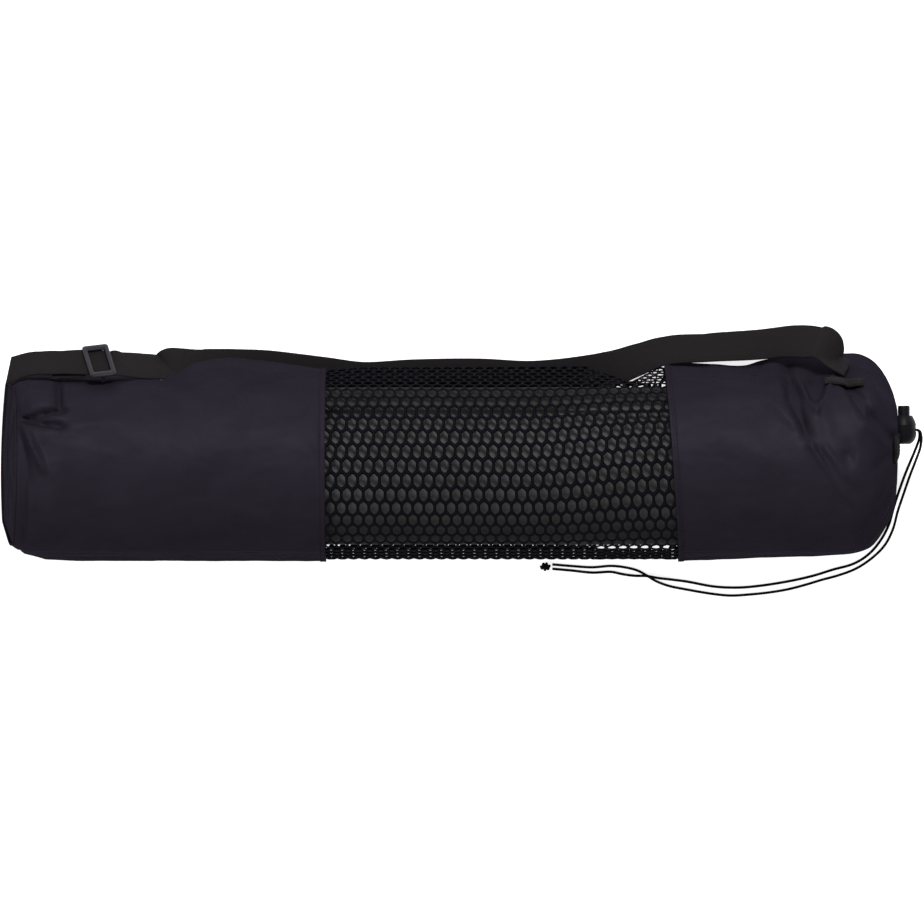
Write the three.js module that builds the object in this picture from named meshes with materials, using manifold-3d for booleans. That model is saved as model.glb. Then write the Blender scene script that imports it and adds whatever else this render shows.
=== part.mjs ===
import * as THREE from 'three'
import { mergeVertices } from 'three/addons/utils/BufferGeometryUtils.js'
import Module from 'manifold-3d'

// Yoga mat bag with its rolled mat, lying on the floor. Millimetres, +Z up. The mat's axis runs along X
// at y = 0, the base end is at x = 0 and the drawn mouth at the +X end. The last lines move the origin under the middle.

const wasm = await Module()
wasm.setup()

// Rolled mat
const matRadius = 58
const matLength = 610
const matThickness = 6
const matCoreRadius = 9
const matFlapAngle = 45
const matSteps = 44

// Layers, from the mat outwards
const gap = 0.3
const netRoom = 1.6
const netWall = 1.2
const tuckGap = 0.7
const clothWall = 1.2

// Lengths along the bag
const baseDepth = 18
const baseSleeveLength = 237
const netLength = 254
const mouthDepth = 30
const netTuck = 5
const hemWidth = 4.4
const hemRise = 0.5
const seamSlant = 9
const baseLean = 14

// Slack cloth that spreads on the floor on either side of the mat, and where its underside leaves the floor
const nearSlackWidth = 7
const farSlackWidth = 12
const cornerRadius = 4
const cornerGap = 0.3
const footShare = 0.72

// Net: cells along the bag and around it, and the share of a cell that is open
const netColumns = 8
const netRings = 12
const netOpen = 0.76

// Webbing
const strapWidth = 28
const strapThickness = 1.6
const tailLength = 26
const tailShift = 3
const mouthTabStand = 1.2
const casingTabStand = 4.1

// Slider
const sliderBar = 3.2
const sliderThickness = 2.4
const sliderSlot = 4.8
const sliderRoom = 0.7
const sliderLift = 1
const sliderCorner = 2.4
const sliderPostDepth = 1.6
const sliderTurn = 13

// Drawn mouth and its casing
const mouthRadius = 12.5
const mouthSide = 24
const lockSide = 2.6
const lockStand = 1.2
const mouthHeight = 50
const casingLength = 6
const casingHole = 5.6
const casingGathers = 11
const gatherDepth = 1.8
const gatherLeft = 0.35

// Cord, with two strands side by side
const cordDiameter = 2
const cordSides = 8
const strandPitch = cordDiameter + 0.5
const knotLength = 9
const knotRadius = 3.4

// Cord lock
const lockRadius = 9.2
const lockLength = 21
const lockSides = 16
const plungerRadius = 4.4
const plungerClearance = 0.3
const plungerStand = 7.2
const plungerTravel = 3.5
const cordRoom = 0.55

// What follows from them
const netInner = matRadius + gap + netRoom
const netInset = Math.max(clothWall + tuckGap, strapThickness + gap)
const crownRadius = netInner + netWall + netInset
const matAxis = netInset + netWall + gap + matRadius
const nearEdge = -(crownRadius + nearSlackWidth)
const farEdge = crownRadius + farSlackWidth
const baseSeam = baseSleeveLength
const mouthSeam = baseSleeveLength + netLength
const matEnd = baseDepth + matLength
const mouthSpan = matEnd + mouthDepth - mouthSeam
const mouthFace = matEnd + 0.75 * mouthDepth
const lockAt = new THREE.Vector3(mouthFace + lockStand + lockRadius, mouthSide + lockSide, mouthHeight)
const bagLength = matEnd + mouthDepth

const dress = (r, g, b, roughness) => new THREE.MeshStandardMaterial({
  color: new THREE.Color().setRGB(r, g, b, THREE.SRGBColorSpace), roughness, metalness: 0 })
const cloth = dress(0.16, 0.145, 0.175, 0.62)
const netYarn = dress(0.05, 0.05, 0.075, 0.7)
const webbing = dress(0.145, 0.135, 0.145, 0.75)
const plastic = dress(0.1, 0.1, 0.105, 0.4)
const cord = dress(0.04, 0.04, 0.045, 0.7)
const foam = dress(0.12, 0.12, 0.12, 0.8)

const bag = new THREE.Group()
const onCord = new Set()

// Meshes from points and faces
function solid(points, faces) {
  let volume = 0
  const [p, q, r] = [new THREE.Vector3(), new THREE.Vector3(), new THREE.Vector3()]
  for (const [a, b, c] of faces) volume += p.copy(points[a]).dot(q.copy(points[b]).cross(r.copy(points[c])))
  const turned = volume < 0 ? faces.map(([a, b, c]) => [a, c, b]) : faces
  const geometry = new THREE.BufferGeometry()
  geometry.setAttribute('position', new THREE.Float32BufferAttribute(points.flatMap(v => v.toArray()), 3))
  geometry.setIndex(turned.flat())
  return geometry
}

function add(name, geometry, material, isCord = false) {
  geometry.computeVertexNormals()
  const mesh = new THREE.Mesh(geometry, material)
  mesh.name = name
  bag.add(mesh)
  if (isCord) onCord.add(mesh)
  return mesh
}

const toManifold = geometry => {
  const bare = geometry.clone()
  bare.deleteAttribute('normal')
  bare.deleteAttribute('uv')
  const merged = mergeVertices(bare, 1e-4)
  return new wasm.Manifold(new wasm.Mesh({
    numProp: 3, vertProperties: Float32Array.from(merged.attributes.position.array),
    triVerts: Uint32Array.from(merged.index.array) }))
}

const fromManifold = body => {
  const { vertProperties, triVerts } = body.getMesh()
  const geometry = new THREE.BufferGeometry()
  geometry.setAttribute('position', new THREE.BufferAttribute(Float32Array.from(vertProperties), 3))
  geometry.setIndex(new THREE.BufferAttribute(Uint32Array.from(triVerts), 1))
  return geometry
}

// A wall between two grids of rings, closed at both ends
function shell(outer, inner) {
  const around = outer[0].length
  const points = [...outer.flat(), ...inner.flat()]
  const faces = []
  const at = (side, i, k) => (side * outer.length + i) * around + (k % around)
  const quad = (a, b, c, d) => faces.push([a, b, c], [a, c, d])
  for (let k = 0; k < around; k++) {
    for (let i = 0; i + 1 < outer.length; i++) {
      quad(at(0, i, k), at(0, i, k + 1), at(0, i + 1, k + 1), at(0, i + 1, k))
      quad(at(1, i, k), at(1, i + 1, k), at(1, i + 1, k + 1), at(1, i, k + 1))
    }
    const last = outer.length - 1
    quad(at(0, 0, k), at(1, 0, k), at(1, 0, k + 1), at(0, 0, k + 1))
    quad(at(0, last, k), at(0, last, k + 1), at(1, last, k + 1), at(1, last, k))
  }
  return solid(points, faces)
}

// A bar through a row of equal rings, with flat ends
function bar(rings) {
  const around = rings[0].length
  const faces = []
  for (let i = 0; i + 1 < rings.length; i++) {
    for (let k = 0; k < around; k++) {
      const [a, b] = [i * around + k, i * around + ((k + 1) % around)]
      faces.push([a, b, b + around], [a, b + around, a + around])
    }
  }
  const last = (rings.length - 1) * around
  for (let k = 1; k + 1 < around; k++) faces.push([0, k + 1, k], [last, last + k, last + k + 1])
  return solid(rings.flat(), faces)
}

// Girth of the bag: small circles at its near corner, foot and far corner, and the crown circle over the mat,
// with a band drawn round all four
const wheel = angle => ({ y: Math.cos(angle), z: Math.sin(angle) })

function girth(row) {
  const r = Math.min(cornerRadius, 0.3 * row.crown)
  const crown = { y: row.side, z: row.height, r: row.crown }
  const corner = (y, z) => {
    const reach = Math.hypot(y - crown.y, z - crown.z)
    const stretch = Math.max(1, (crown.r - r + cornerGap) / reach)
    return { y: crown.y + (y - crown.y) * stretch, z: crown.z + (z - crown.z) * stretch, r }
  }
  const near = corner(row.near + r, row.rise + r)
  const far = corner(row.far - r, row.rise + row.farRise + r)
  const foot = { y: THREE.MathUtils.lerp(near.y, far.y, row.foot), z: near.z, r }
  const loop = [near, foot, far, crown]
  const turns = loop.map((c, i) => {
    const d = loop[(i + 1) % 4]
    const span = Math.hypot(d.y - c.y, d.z - c.z)
    return Math.atan2(d.z - c.z, d.y - c.y) - Math.PI / 2 + Math.asin((c.r - d.r) / span)
  })
  return loop.flatMap((c, i) => {
    const d = loop[(i + 1) % 4]
    const along = wheel(turns[i])
    const from = { y: c.y + c.r * along.y, z: c.z + c.r * along.z }
    const to = { y: d.y + d.r * along.y, z: d.z + d.r * along.z }
    let sweep = turns[(i + 1) % 4] - turns[i]
    while (sweep < -1e-9) sweep += 2 * Math.PI
    const line = share => ({ y: from.y + (to.y - from.y) * share, z: from.z + (to.z - from.z) * share, n: along })
    const arc = share => {
      const n = wheel(turns[i] + sweep * share)
      return { y: d.y + d.r * n.y, z: d.z + d.r * n.z, n }
    }
    return [{ at: line, length: Math.hypot(to.y - from.y, to.z - from.z) }, { at: arc, length: d.r * sweep }]
  })
}

// Steps on each line and arc in turn: underside, foot, lifted underside, far corner, far side, crown, near side,
// near corner
const girthSteps = [4, 0, 2, 3, 2, 18, 2, 3]

const girthPoints = row => girth(row).flatMap((piece, i) =>
  Array.from({ length: girthSteps[i] }, (_, k) => piece.at(k / girthSteps[i])))

// A place round the girth, measured from the top of the crown
function girthAt(row, share) {
  const pieces = girth(row)
  const crown = pieces[5]
  const whole = pieces.reduce((sum, piece) => sum + piece.length, 0)
  const top = pieces.slice(0, 5).reduce((sum, piece) => sum + piece.length, 0) +
    crown.length * (Math.PI / 2 - Math.atan2(crown.at(0).n.z, crown.at(0).n.y)) * row.crown / crown.length
  let left = ((top / whole + share) % 1 + 1) % 1 * whole
  for (const piece of pieces) {
    if (left <= piece.length) return piece.at(piece.length ? left / piece.length : 0)
    left -= piece.length
  }
  return pieces[0].at(0)
}

// A girth point set in by some depth, on its leaning row
function place(row, p, inset, fold = 0) {
  const y = p.y + (fold - inset) * p.n.y
  const z = p.z + (fold - inset) * p.n.z
  return new THREE.Vector3(row.x + (row.lean * z - row.slant * y) / (2 * crownRadius), y, z)
}

const rowColumns = ['x', 'lean', 'slant', 'crown', 'side', 'height', 'near', 'far', 'rise', 'farRise', 'foot']
const row = (...values) => Object.fromEntries(rowColumns.map((name, i) => [name, values[i]]))
const blend = (a, b, share) =>
  Object.fromEntries(rowColumns.map(name => [name, a[name] + (b[name] - a[name]) * share]))
const between = (rows, count) => Array.from({ length: count }, (_, i) => {
  const s = i / (count - 1) * (rows.length - 1)
  const k = Math.min(Math.floor(s), rows.length - 2)
  return blend(rows[k], rows[k + 1], s - k)
})

// Far edge of the slack cloth along the bag: station as a share of the bag's length, reach as a share of the
// far edge, rise over the floor as a share of the crown's radius, and place of the foot as a share of the width.
// It draws in where the webbing passes it.
const flangeTable = [
  [0.0, 0.92, 0.0, 0.72], [0.087, 0.935, 0.0, 0.72], [0.152, 0.88, 0.0, 0.78], [0.179, 0.842, 0.935, 0.985],
  [0.210, 0.996, 0.60, 0.80], [0.228, 1.033, 0.47, 0.74], [0.254, 1.064, 0.31, 0.70], [0.293, 1.027, 0.14, 0.70],
  [0.354, 0.96, 0.085, 0.70], [0.398, 1.0, 0.048, 0.72], [0.653, 1.007, 0.085, 0.70], [0.707, 0.842, 0.935, 0.985],
  [0.741, 0.996, 0.0, 0.72], [1.0, 0.996, 0.0, 0.72]]

function flangeAt(x) {
  const share = THREE.MathUtils.clamp(x / bagLength, 0, 1)
  const k = Math.min(flangeTable.findLastIndex(([at]) => at <= share), flangeTable.length - 2)
  const [a, b] = [flangeTable[k], flangeTable[k + 1]]
  const part = (share - a[0]) / (b[0] - a[0])
  const [far, farRise, foot] = [1, 2, 3].map(column => a[column] + (b[column] - a[column]) * part)
  return { far: far * farEdge, farRise: farRise * crownRadius, foot }
}

const fullRow = (x, lean, slant) => {
  const { far, farRise, foot } = flangeAt(x)
  return row(x, lean, slant, crownRadius, 0, crownRadius, nearEdge, far, 0, farRise, foot)
}

// Base end, each row as shares: station of the base depth, lean, crown, near edge, far edge
const baseTable = [
  [0.08, 1.0, 0.92, 0.60, 0.90],
  [0.34, 0.86, 0.97, 0.78, 0.95],
  [0.80, 0.64, 1.0, 0.92, 0.98],
  [1.70, 0.34, 1.0, 0.985, 1.0],
]
const baseRows = baseTable.map(([station, lean, crown, near, far]) =>
  row(station * baseDepth, lean * baseLean, 0, crown * crownRadius, 0, crown * crownRadius, near * nearEdge,
    far * flangeAt(0).far, 0, 0, footShare))

// Base sleeve, with the doubled hem that takes the net
const sleeveStations = [0.087, 0.152, 0.179, 0.195, 0.210, 0.228, 0.254, 0.293]
const baseHem = [hemWidth + hemRise, hemWidth, 0].map(back => fullRow(baseSeam - back, 0, 0))
const baseSleeveRows = [...baseRows, ...sleeveStations.map(at => fullRow(at * bagLength, 0, 0)), ...baseHem]
const hemStart = baseSleeveRows.length - 2
const raised = (p, isHem) => isHem ? -hemRise * (1 + Math.min(0, p.n.z)) : 0
add('base_sleeve', shell(
  baseSleeveRows.map((r, i) => girthPoints(r).map(p => place(r, p, raised(p, i >= hemStart)))),
  baseSleeveRows.map(r => girthPoints(r).map(p => place(r, p, clothWall)))), cloth)

// Round end panel inside the sleeve's first row
{
  const rim = baseRows[0]
  const bulge = 0.1 * baseDepth
  const face = (inset, share, push) => {
    const middle = place(rim, { y: 0, z: rim.height, n: wheel(0) }, 0)
    return girthPoints(rim).map(p => place(rim, p, inset).lerp(middle, share).add(new THREE.Vector3(push, 0, 0)))
  }
  const rings = [clothWall, 0].flatMap(back => [0, 0.5].map(share =>
    face(clothWall + gap, share, back - bulge * Math.sin(share * Math.PI / 2))))
  const around = rings[0].length
  const points = rings.flat()
  for (const ring of [rings[1], rings[3]]) {
    points.push(ring.reduce((sum, v) => sum.add(v), new THREE.Vector3()).divideScalar(around))
  }
  const faces = []
  for (let k = 0; k < around; k++) {
    const next = (k + 1) % around
    const [a, b, c, d] = [k, next, around + next, around + k]
    const back = 2 * around
    faces.push([a, b, c], [a, c, d], [d, c, points.length - 2])
    faces.push([back + a, back + c, back + b], [back + a, back + d, back + c], [back + d, points.length - 1, back + c])
    faces.push([a, back + b, b], [a, back + a, back + b])
  }
  add('base_panel', solid(points, faces), cloth)
}

// Net sleeve: a wall cut through in staggered six-sided gaps, with a plain edge tucked into each cloth sleeve
{
  const points = []
  const faces = []
  const known = new Map()
  const pitch = 1 / netColumns
  const netRow = along => fullRow(baseSeam + along * netLength, 0, seamSlant * along)
  const spot = (column, ring) => {
    const turn = ((ring % netRings) + netRings) % netRings
    const name = `${column.toFixed(4)},${turn.toFixed(4)}`
    if (!known.has(name)) {
      const edge = column < 0 ? -netTuck / netLength : column > netColumns ? 1 + netTuck / netLength : column * pitch
      const r = netRow(edge)
      const p = girthAt(r, turn / netRings)
      known.set(name, points.length)
      points.push(place(r, p, netInset), place(r, p, netInset + netWall))
    }
    return known.get(name)
  }
  const flat = ids => {
    for (let k = 1; k + 1 < ids.length; k++) {
      faces.push([ids[0], ids[k], ids[k + 1]], [ids[0] + 1, ids[k + 1] + 1, ids[k] + 1])
    }
  }
  const wall = (a, b) => faces.push([a, a + 1, b + 1], [a, b + 1, b])
  const cell = [[0, -2 / 3], [0.5, -1 / 3], [0.5, 1 / 3], [0, 2 / 3], [-0.5, 1 / 3], [-0.5, -1 / 3]]
  for (let ring = 0; ring < netRings; ring++) {
    const shift = ring % 2 ? 1 : 0.5
    const whole = ring % 2 ? netColumns - 1 : netColumns
    for (let i = 0; i < whole; i++) {
      const rim = cell.map(([c, r]) => spot(i + shift + c, ring + r))
      const hole = cell.map(([c, r]) => spot(i + shift + netOpen * c, ring + netOpen * r))
      for (let k = 0; k < 6; k++) {
        const next = (k + 1) % 6
        flat([rim[k], rim[next], hole[next], hole[k]])
        wall(hole[next], hole[k])
      }
    }
    if (ring % 2) {
      flat([[0.5, -1 / 3], [0.5, 1 / 3], [0, 2 / 3], [0, 0], [0, -2 / 3]].map(([c, r]) => spot(c, ring + r)))
      flat([[-0.5, 1 / 3], [-0.5, -1 / 3], [0, -2 / 3], [0, 0], [0, 2 / 3]].map(([c, r]) =>
        spot(netColumns + c, ring + r)))
    }
    const marks = ring % 2 ? [-2 / 3, 0, 2 / 3] : [-1 / 3, 1 / 3]
    for (let k = 0; k + 1 < marks.length; k++) {
      const [low, high] = [ring + marks[k], ring + marks[k + 1]]
      flat([spot(-1, low), spot(0, low), spot(0, high), spot(-1, high)])
      flat([spot(netColumns, low), spot(netColumns + 1, low), spot(netColumns + 1, high), spot(netColumns, high)])
      wall(spot(-1, high), spot(-1, low))
      wall(spot(netColumns + 1, low), spot(netColumns + 1, high))
    }
  }
  add('net_sleeve', solid(points, faces), netYarn)
}

// Mouth end, as shares: station along the span, crown, side and height of its middle towards the mouth's, near edge
// and far edge, and rise of the underside
const mouthTable = [
  [0.00, 1.00, 0.00, 1.00, 1.02, 0.00],
  [0.18, 1.00, 0.00, 0.99, 1.01, 0.00],
  [0.34, 1.00, 0.00, 0.97, 0.965, 0.00],
  [0.42, 1.00, 0.00, 0.965, 1.06, 0.00],
  [0.74, 1.00, 0.00, 0.94, 1.10, 0.00],
  [0.83, 1.00, 0.00, 0.91, 1.11, 0.00],
  [0.895, 0.90, 0.12, 0.85, 1.02, 0.03],
  [0.955, 0.69, 0.32, 0.63, 0.84, 0.16],
  [0.992, 0.45, 0.62, 0.37, 0.60, 0.44],
  [0.985, 0.29, 0.88, 0.02, 0.48, 0.80],
  [0.955, 0.205, 1.00, -0.13, 0.45, 1.00],
]
const mouthRows = mouthTable.map(([station, crown, drawn, near, far, rise]) => {
  const height = THREE.MathUtils.lerp(crown * crownRadius, mouthHeight, drawn)
  const radius = Math.max(crown * crownRadius, mouthRadius)
  const low = Math.max(0, (mouthHeight - mouthRadius) * rise)
  return row(mouthSeam + station * mouthSpan, 0, seamSlant * Math.max(0, 1 - station / 0.8), radius,
    drawn * mouthSide, height, near * nearEdge, far * farEdge, low, 0, footShare)
})

// Folds of the mouth end seen from above: where each runs from and to, as shares of the span and of the crown's
// radius, with its height (a valley is negative) and width as shares of the crown's radius
const foldTable = [
  [0.49, 1.15, 0.575, 0.33, -0.055, 0.12],
  [0.36, 0.84, 0.77, -0.41, 0.035, 0.13],
  [0.515, 1.02, 0.614, 0.62, 0.03, 0.09],
  [0.70, 1.05, 0.614, 0.62, -0.03, 0.09],
  [0.70, 1.03, 0.954, 0.19, 0.05, 0.10],
  [0.735, 0.95, 0.967, 0.30, -0.06, 0.10],
]

function foldAt(row, p) {
  if (p.n.z < 0.05) return 0
  const shareX = (row.x - mouthSeam) / crownRadius
  let rise = 0
  for (const [x0, y0, x1, y1, height, width] of foldTable) {
    const [ax, bx] = [x0, x1].map(x => x * mouthSpan / crownRadius)
    const [dx, dy] = [bx - ax, y1 - y0]
    const [px, py] = [shareX - ax, p.y / crownRadius - y0]
    const along = THREE.MathUtils.clamp((px * dx + py * dy) / (dx * dx + dy * dy), 0, 1)
    const away = Math.hypot(px - along * dx, py - along * dy) / width
    rise += height * Math.exp(-away * away)
  }
  return rise * crownRadius * Math.min(1, p.n.z / 0.4)
}

function gatherAt(row, p) {
  const station = (row.x - mouthSeam) / mouthSpan
  const drawn = THREE.MathUtils.smoothstep(station, 0.8, 1) * Math.max(gatherLeft, row.crown / crownRadius)
  const angle = Math.atan2(p.z - row.height, p.y - row.side)
  return gatherDepth * drawn * Math.cos(casingGathers * angle)
}

{
  const hemRows = [0, hemWidth, hemWidth + hemRise].map(x => ({ ...mouthRows[0], x: mouthSeam + x }))
  const rows = [...hemRows, ...between(mouthRows.slice(1), 13)]
  const fold = (r, p) => r.x - mouthSeam < 0.1 * mouthSpan ? 0 : foldAt(r, p) + gatherAt(r, p)
  const outer = rows.map((r, i) => girthPoints(r).map(p => place(r, p, raised(p, i < 2), fold(r, p))))
  const straight = 6
  const around = outer[0].length
  const inner = rows.map((r, i) => girthPoints(r).map((p, k) => {
    if (i < straight) return place(r, p, clothWall, fold(r, p))
    const along = outer[Math.min(i + 1, rows.length - 1)][k].clone().sub(outer[i - 1][k])
    const round = outer[i][(k + 1) % around].clone().sub(outer[i][(k + around - 1) % around])
    return outer[i][k].clone().addScaledVector(round.cross(along).normalize(), -clothWall)
  }))
  add('mouth_sleeve', shell(outer, inner), cloth)
}

// Casing: the gathered hem round the drawn mouth, open inwards, with the cord inside
const mouthMiddle = new THREE.Vector3(mouthFace, mouthSide, mouthHeight)
{
  const [back, front] = [mouthFace - casingLength, mouthFace]
  const outerR = mouthRadius - 4 * gap - gatherDepth * gatherLeft
  const groove = cordDiameter / 2 + 1.6 * gap
  const middle = (back + front) / 2
  const cordR = casingHole + clothWall + groove
  const profile = [
    [back, outerR - 1], [back + 1, outerR], [front - 1, outerR], [front, outerR - 1], [front, casingHole],
    [middle + groove, casingHole], [middle + groove, cordR + groove], [middle - groove, cordR + groove],
    [middle - groove, casingHole], [back, casingHole]]
  const steps = 16
  const rings = Array.from({ length: steps }, (_, k) => {
    const angle = 2 * Math.PI * k / steps
    const n = wheel(angle)
    return profile.map(([x, r]) => new THREE.Vector3(x, mouthSide + r * n.y, mouthHeight + r * n.z))
  })
  const faces = []
  const size = profile.length
  rings.forEach((_, i) => profile.forEach((__, k) => {
    const [a, b] = [i * size + k, i * size + ((k + 1) % size)]
    const [c, d] = [((i + 1) % steps) * size + ((k + 1) % size), ((i + 1) % steps) * size + k]
    faces.push([a, b, c], [a, c, d])
  }))
  add('drawcord_casing', solid(rings.flat(), faces), cloth)
}

// A round bar along a smooth line through points
function tube(points, radius, sides, steps) {
  const path = new THREE.CatmullRomCurve3(points, false, 'centripetal')
  const section = new THREE.Shape(Array.from({ length: sides }, (_, k) => {
    const n = wheel(2 * Math.PI * (k + 0.5) / sides)
    return new THREE.Vector2(radius * n.y, radius * n.z)
  }))
  return new THREE.ExtrudeGeometry(section, { steps, extrudePath: path, bevelEnabled: false })
}

// Cord inside the casing, drawn round and out through the mouth into the lock
{
  const radius = casingHole + clothWall + cordDiameter / 2 + gap
  const middle = mouthFace - casingLength / 2
  const open = 0.42
  const round = Array.from({ length: 21 }, (_, k) => {
    const n = wheel(open + (2 * Math.PI - 2 * open) * k / 20)
    return new THREE.Vector3(middle, mouthSide + radius * n.y, mouthHeight + radius * n.z)
  })
  const lead = side => [[middle, 2.6, 0.8], [middle + 1, 0.8, 0.55], [middle + 4, 0, 0.5],
    [lockAt.x - gap, 0, 0.5]]
    .map(([x, out, z]) => new THREE.Vector3(x, lockAt.y + out, mouthHeight + side * z * strandPitch))
  add('drawcord_loop', tube([...lead(1).reverse(), ...round, ...lead(-1)], cordDiameter / 2, 6, 32), cord)
}

// Cord lock: a barrel across the mouth with a sprung plunger and a slot for both strands
const cordHeight = 2 * strandPitch + 2 * cordRoom
const slotLong = cordDiameter + 2 * cordRoom + plungerTravel
{
  const half = lockLength / 2
  const r = lockRadius
  const profile = [[0, -half], [0.55 * r, -half], [0.86 * r, -0.72 * half], [r, -0.3 * half], [r, 0.25 * half],
    [0.88 * r, 0.66 * half], [0.66 * r, half], [0, half]].map(([a, b]) => new THREE.Vector2(a, b))
  const barrel = toManifold(new THREE.LatheGeometry(profile, lockSides))
  const boreR = plungerRadius + plungerClearance
  const boreDepth = lockLength - 3.5
  const bore = toManifold(new THREE.CylinderGeometry(boreR, boreR, boreDepth, lockSides)
    .translate(0, half - boreDepth / 2 + 1e-3, 0))
  const slot = toManifold(new THREE.BoxGeometry(3 * r, cordDiameter + 2 * cordRoom, cordHeight))
  const body = fromManifold(barrel.subtract(bore).subtract(slot))
  add('cord_lock_body', body.translate(...lockAt.toArray()), plastic)

  const foot = -half + 3.5 + gap + plungerTravel
  const head = half + plungerStand
  const rod = toManifold(new THREE.LatheGeometry([[0, foot], [plungerRadius, foot], [plungerRadius, head - 1.2],
    [plungerRadius - 1.2, head], [0, head]].map(([a, b]) => new THREE.Vector2(a, b)), lockSides))
  const window = toManifold(new THREE.BoxGeometry(3 * r, slotLong, cordHeight)
    .translate(0, (slotLong - cordDiameter) / 2 - cordRoom, 0))
  add('cord_lock_plunger', fromManifold(rod.subtract(window)).translate(...lockAt.toArray()), plastic)
}

// Free cord: both strands leave the lock, drop to the floor beside the mouth and lie back along the near side.
// Points from the lock's middle, chosen along the real cord, with heights above the floor.
const strandA = [
  [0.3, 0, 50], [8.8, 0, 50], [11, -0.8, 49], [11.6, -5.8, 42.9], [9.3, -13.7, 32], [6, -22.5, 19], [2, -33, 7.5],
  [-2.2, -45, 1.9], [-6.2, -57.5, 1.05], [-9.8, -70, 1.05], [-15.9, -81.5, 1.05], [-24.5, -91.5, 1.05],
  [-35.5, -98.5, 1.05], [-50.8, -102.9, 1.05], [-65, -107.3, 1.05], [-81, -111, 1.05], [-103, -114.6, 1.05],
  [-120, -116.1, 1.05], [-138, -115.4, 1.05], [-158.5, -111.7, 1.05], [-170, -110.2, 1.25], [-180, -109, 3.2],
  [-188, -107.6, 3.95], [-197, -107.4, 2.4], [-206, -106.2, 1.05], [-214, -104.6, 1.05], [-228, -105.1, 1.05],
  [-243, -103.6, 1.05], [-257.5, -102.3, 1.05]]
const strandB = [
  [0.3, 0, 50], [8.4, 0, 50], [11.4, -0.9, 50], [12.9, -5, 46.8], [12.5, -13, 35], [9.3, -23.5, 18.5],
  [5.2, -35, 6.6], [1, -47.6, 1.6], [-3.2, -60.2, 1.05], [-6.6, -72.9, 1.05], [-12.7, -84.9, 1.05],
  [-22.4, -94.6, 1.05], [-34, -102.2, 1.05], [-46.5, -107, 1.05], [-59.6, -110.6, 1.05], [-70.5, -113.9, 1.05],
  [-84, -117.4, 1.05], [-98.4, -119.8, 1.05], [-112, -121.2, 1.05], [-126.2, -122, 1.05], [-139.4, -120.8, 1.05],
  [-158.4, -117.6, 1.05], [-172, -114.8, 1.05], [-181, -111.4, 1.05], [-188, -107.2, 1.05], [-194.5, -103.7, 1.05],
  [-203, -101.4, 1.05], [-214, -100.2, 1.05], [-228, -101.2, 1.05], [-243, -100.3, 1.05], [-257.5, -99.1, 1.05]]
const strandSteps = 43
for (const [name, route, side] of [['drawcord_strand_a', strandA, -1], ['drawcord_strand_b', strandB, 1]]) {
  const points = route.map(([x, y, z], i) => new THREE.Vector3(lockAt.x + x, lockAt.y + y,
    (i < 3 ? z + side * strandPitch / 2 : z)))
  add(name, tube(points, cordDiameter / 2, cordSides, strandSteps), cord, true)
}

// Knot that holds the two strand ends together
{
  const profile = [[0, 0], [0.6, 0], [1, 0.25], [1, 0.7], [0.7, 1], [0, 1]]
    .map(([a, b]) => new THREE.Vector2(a * knotRadius, b * knotLength))
  const knot = new THREE.LatheGeometry(profile, 12).rotateZ(Math.PI / 2)
  knot.translate(lockAt.x + strandA.at(-1)[0] - 2 * gap, lockAt.y + (strandA.at(-1)[1] + strandB.at(-1)[1]) / 2, knotRadius)
  add('drawcord_knot', fromManifold(toManifold(knot)), cord, true)
}

// Shoulder strap from the base end to the mouth end: station as a share of the bag's length, inner edge as a share of
// the far edge, lift of the outer edge off the floor as a share of the crown's radius, and tilt in degrees
const strapTable = [
  [0.004, 0.795, 0.52, 48], [0.030, 0.882, 0.645, 57], [0.058, 0.894, 0.815, 54], [0.085, 0.8945, 0.918, 50],
  [0.108, 0.890, 0.935, 50], [0.130, 0.883, 0.905, 53], [0.152, 0.865, 0.72, 55], [0.179, 0.885, 0.395, 56],
  [0.196, 0.889, 0.175, 53], [0.210, 0.850, 0.018, 45], [0.228, 0.82, 0.0, 30], [0.254, 0.79, 0.0, 15],
  [0.293, 0.765, 0.0, 4], [0.354, 0.70, 0.0, 0], [0.40, 0.65, 0.0, 0], [0.46, 0.65, 0.0, 0], [0.53, 0.65, 0.0, 0],
  [0.59, 0.66, 0.0, 0], [0.65, 0.71, 0.0, 0], [0.68, 0.78, 0.0, 8], [0.71, 0.92, 0.0, 26], [0.741, 1.012, 0.0, 41],
  [0.785, 1.02, 0.0, 42], [0.830, 1.035, 0.0, 38], [0.853, 1.05, 0.08, 38], [0.875, 1.065, 0.23, 43],
  [0.896, 1.06, 0.44, 52], [0.912, 1.05, 0.62, 62], [0.926, 0.965, 0.69, 62], [0.942, 0.875, 0.69, 60]]
const strapRest = strapThickness / 2 + 0.05
const strapTilt = columns => THREE.MathUtils.degToRad(columns[3])
const innerEdge = new THREE.CatmullRomCurve3(strapTable.map(columns => new THREE.Vector3(columns[0] * bagLength,
  columns[1] * farEdge, columns[2] * crownRadius + strapRest + strapWidth * Math.sin(strapTilt(columns)))),
false, 'centripetal')

// Place on the strap: its middle, its way along, its width towards the bag and its upward normal
function strapFrame(share) {
  const s = share * (strapTable.length - 1)
  const k = Math.min(Math.floor(s), strapTable.length - 2)
  const tilt = THREE.MathUtils.lerp(strapTilt(strapTable[k]), strapTilt(strapTable[k + 1]), s - k)
  const edge = innerEdge.getPoint(share)
  const along = innerEdge.getTangent(share)
  const inward = new THREE.Vector3(0, -Math.cos(tilt), Math.sin(tilt))
  inward.addScaledVector(along, -inward.dot(along)).normalize()
  edge.z = Math.max(edge.z, strapRest + strapWidth * inward.z)
  const up = new THREE.Vector3().crossVectors(inward, along).normalize()
  if (up.z < 0) up.negate()
  return { along, inward, up, middle: edge.clone().addScaledVector(inward, -strapWidth / 2) }
}

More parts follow.
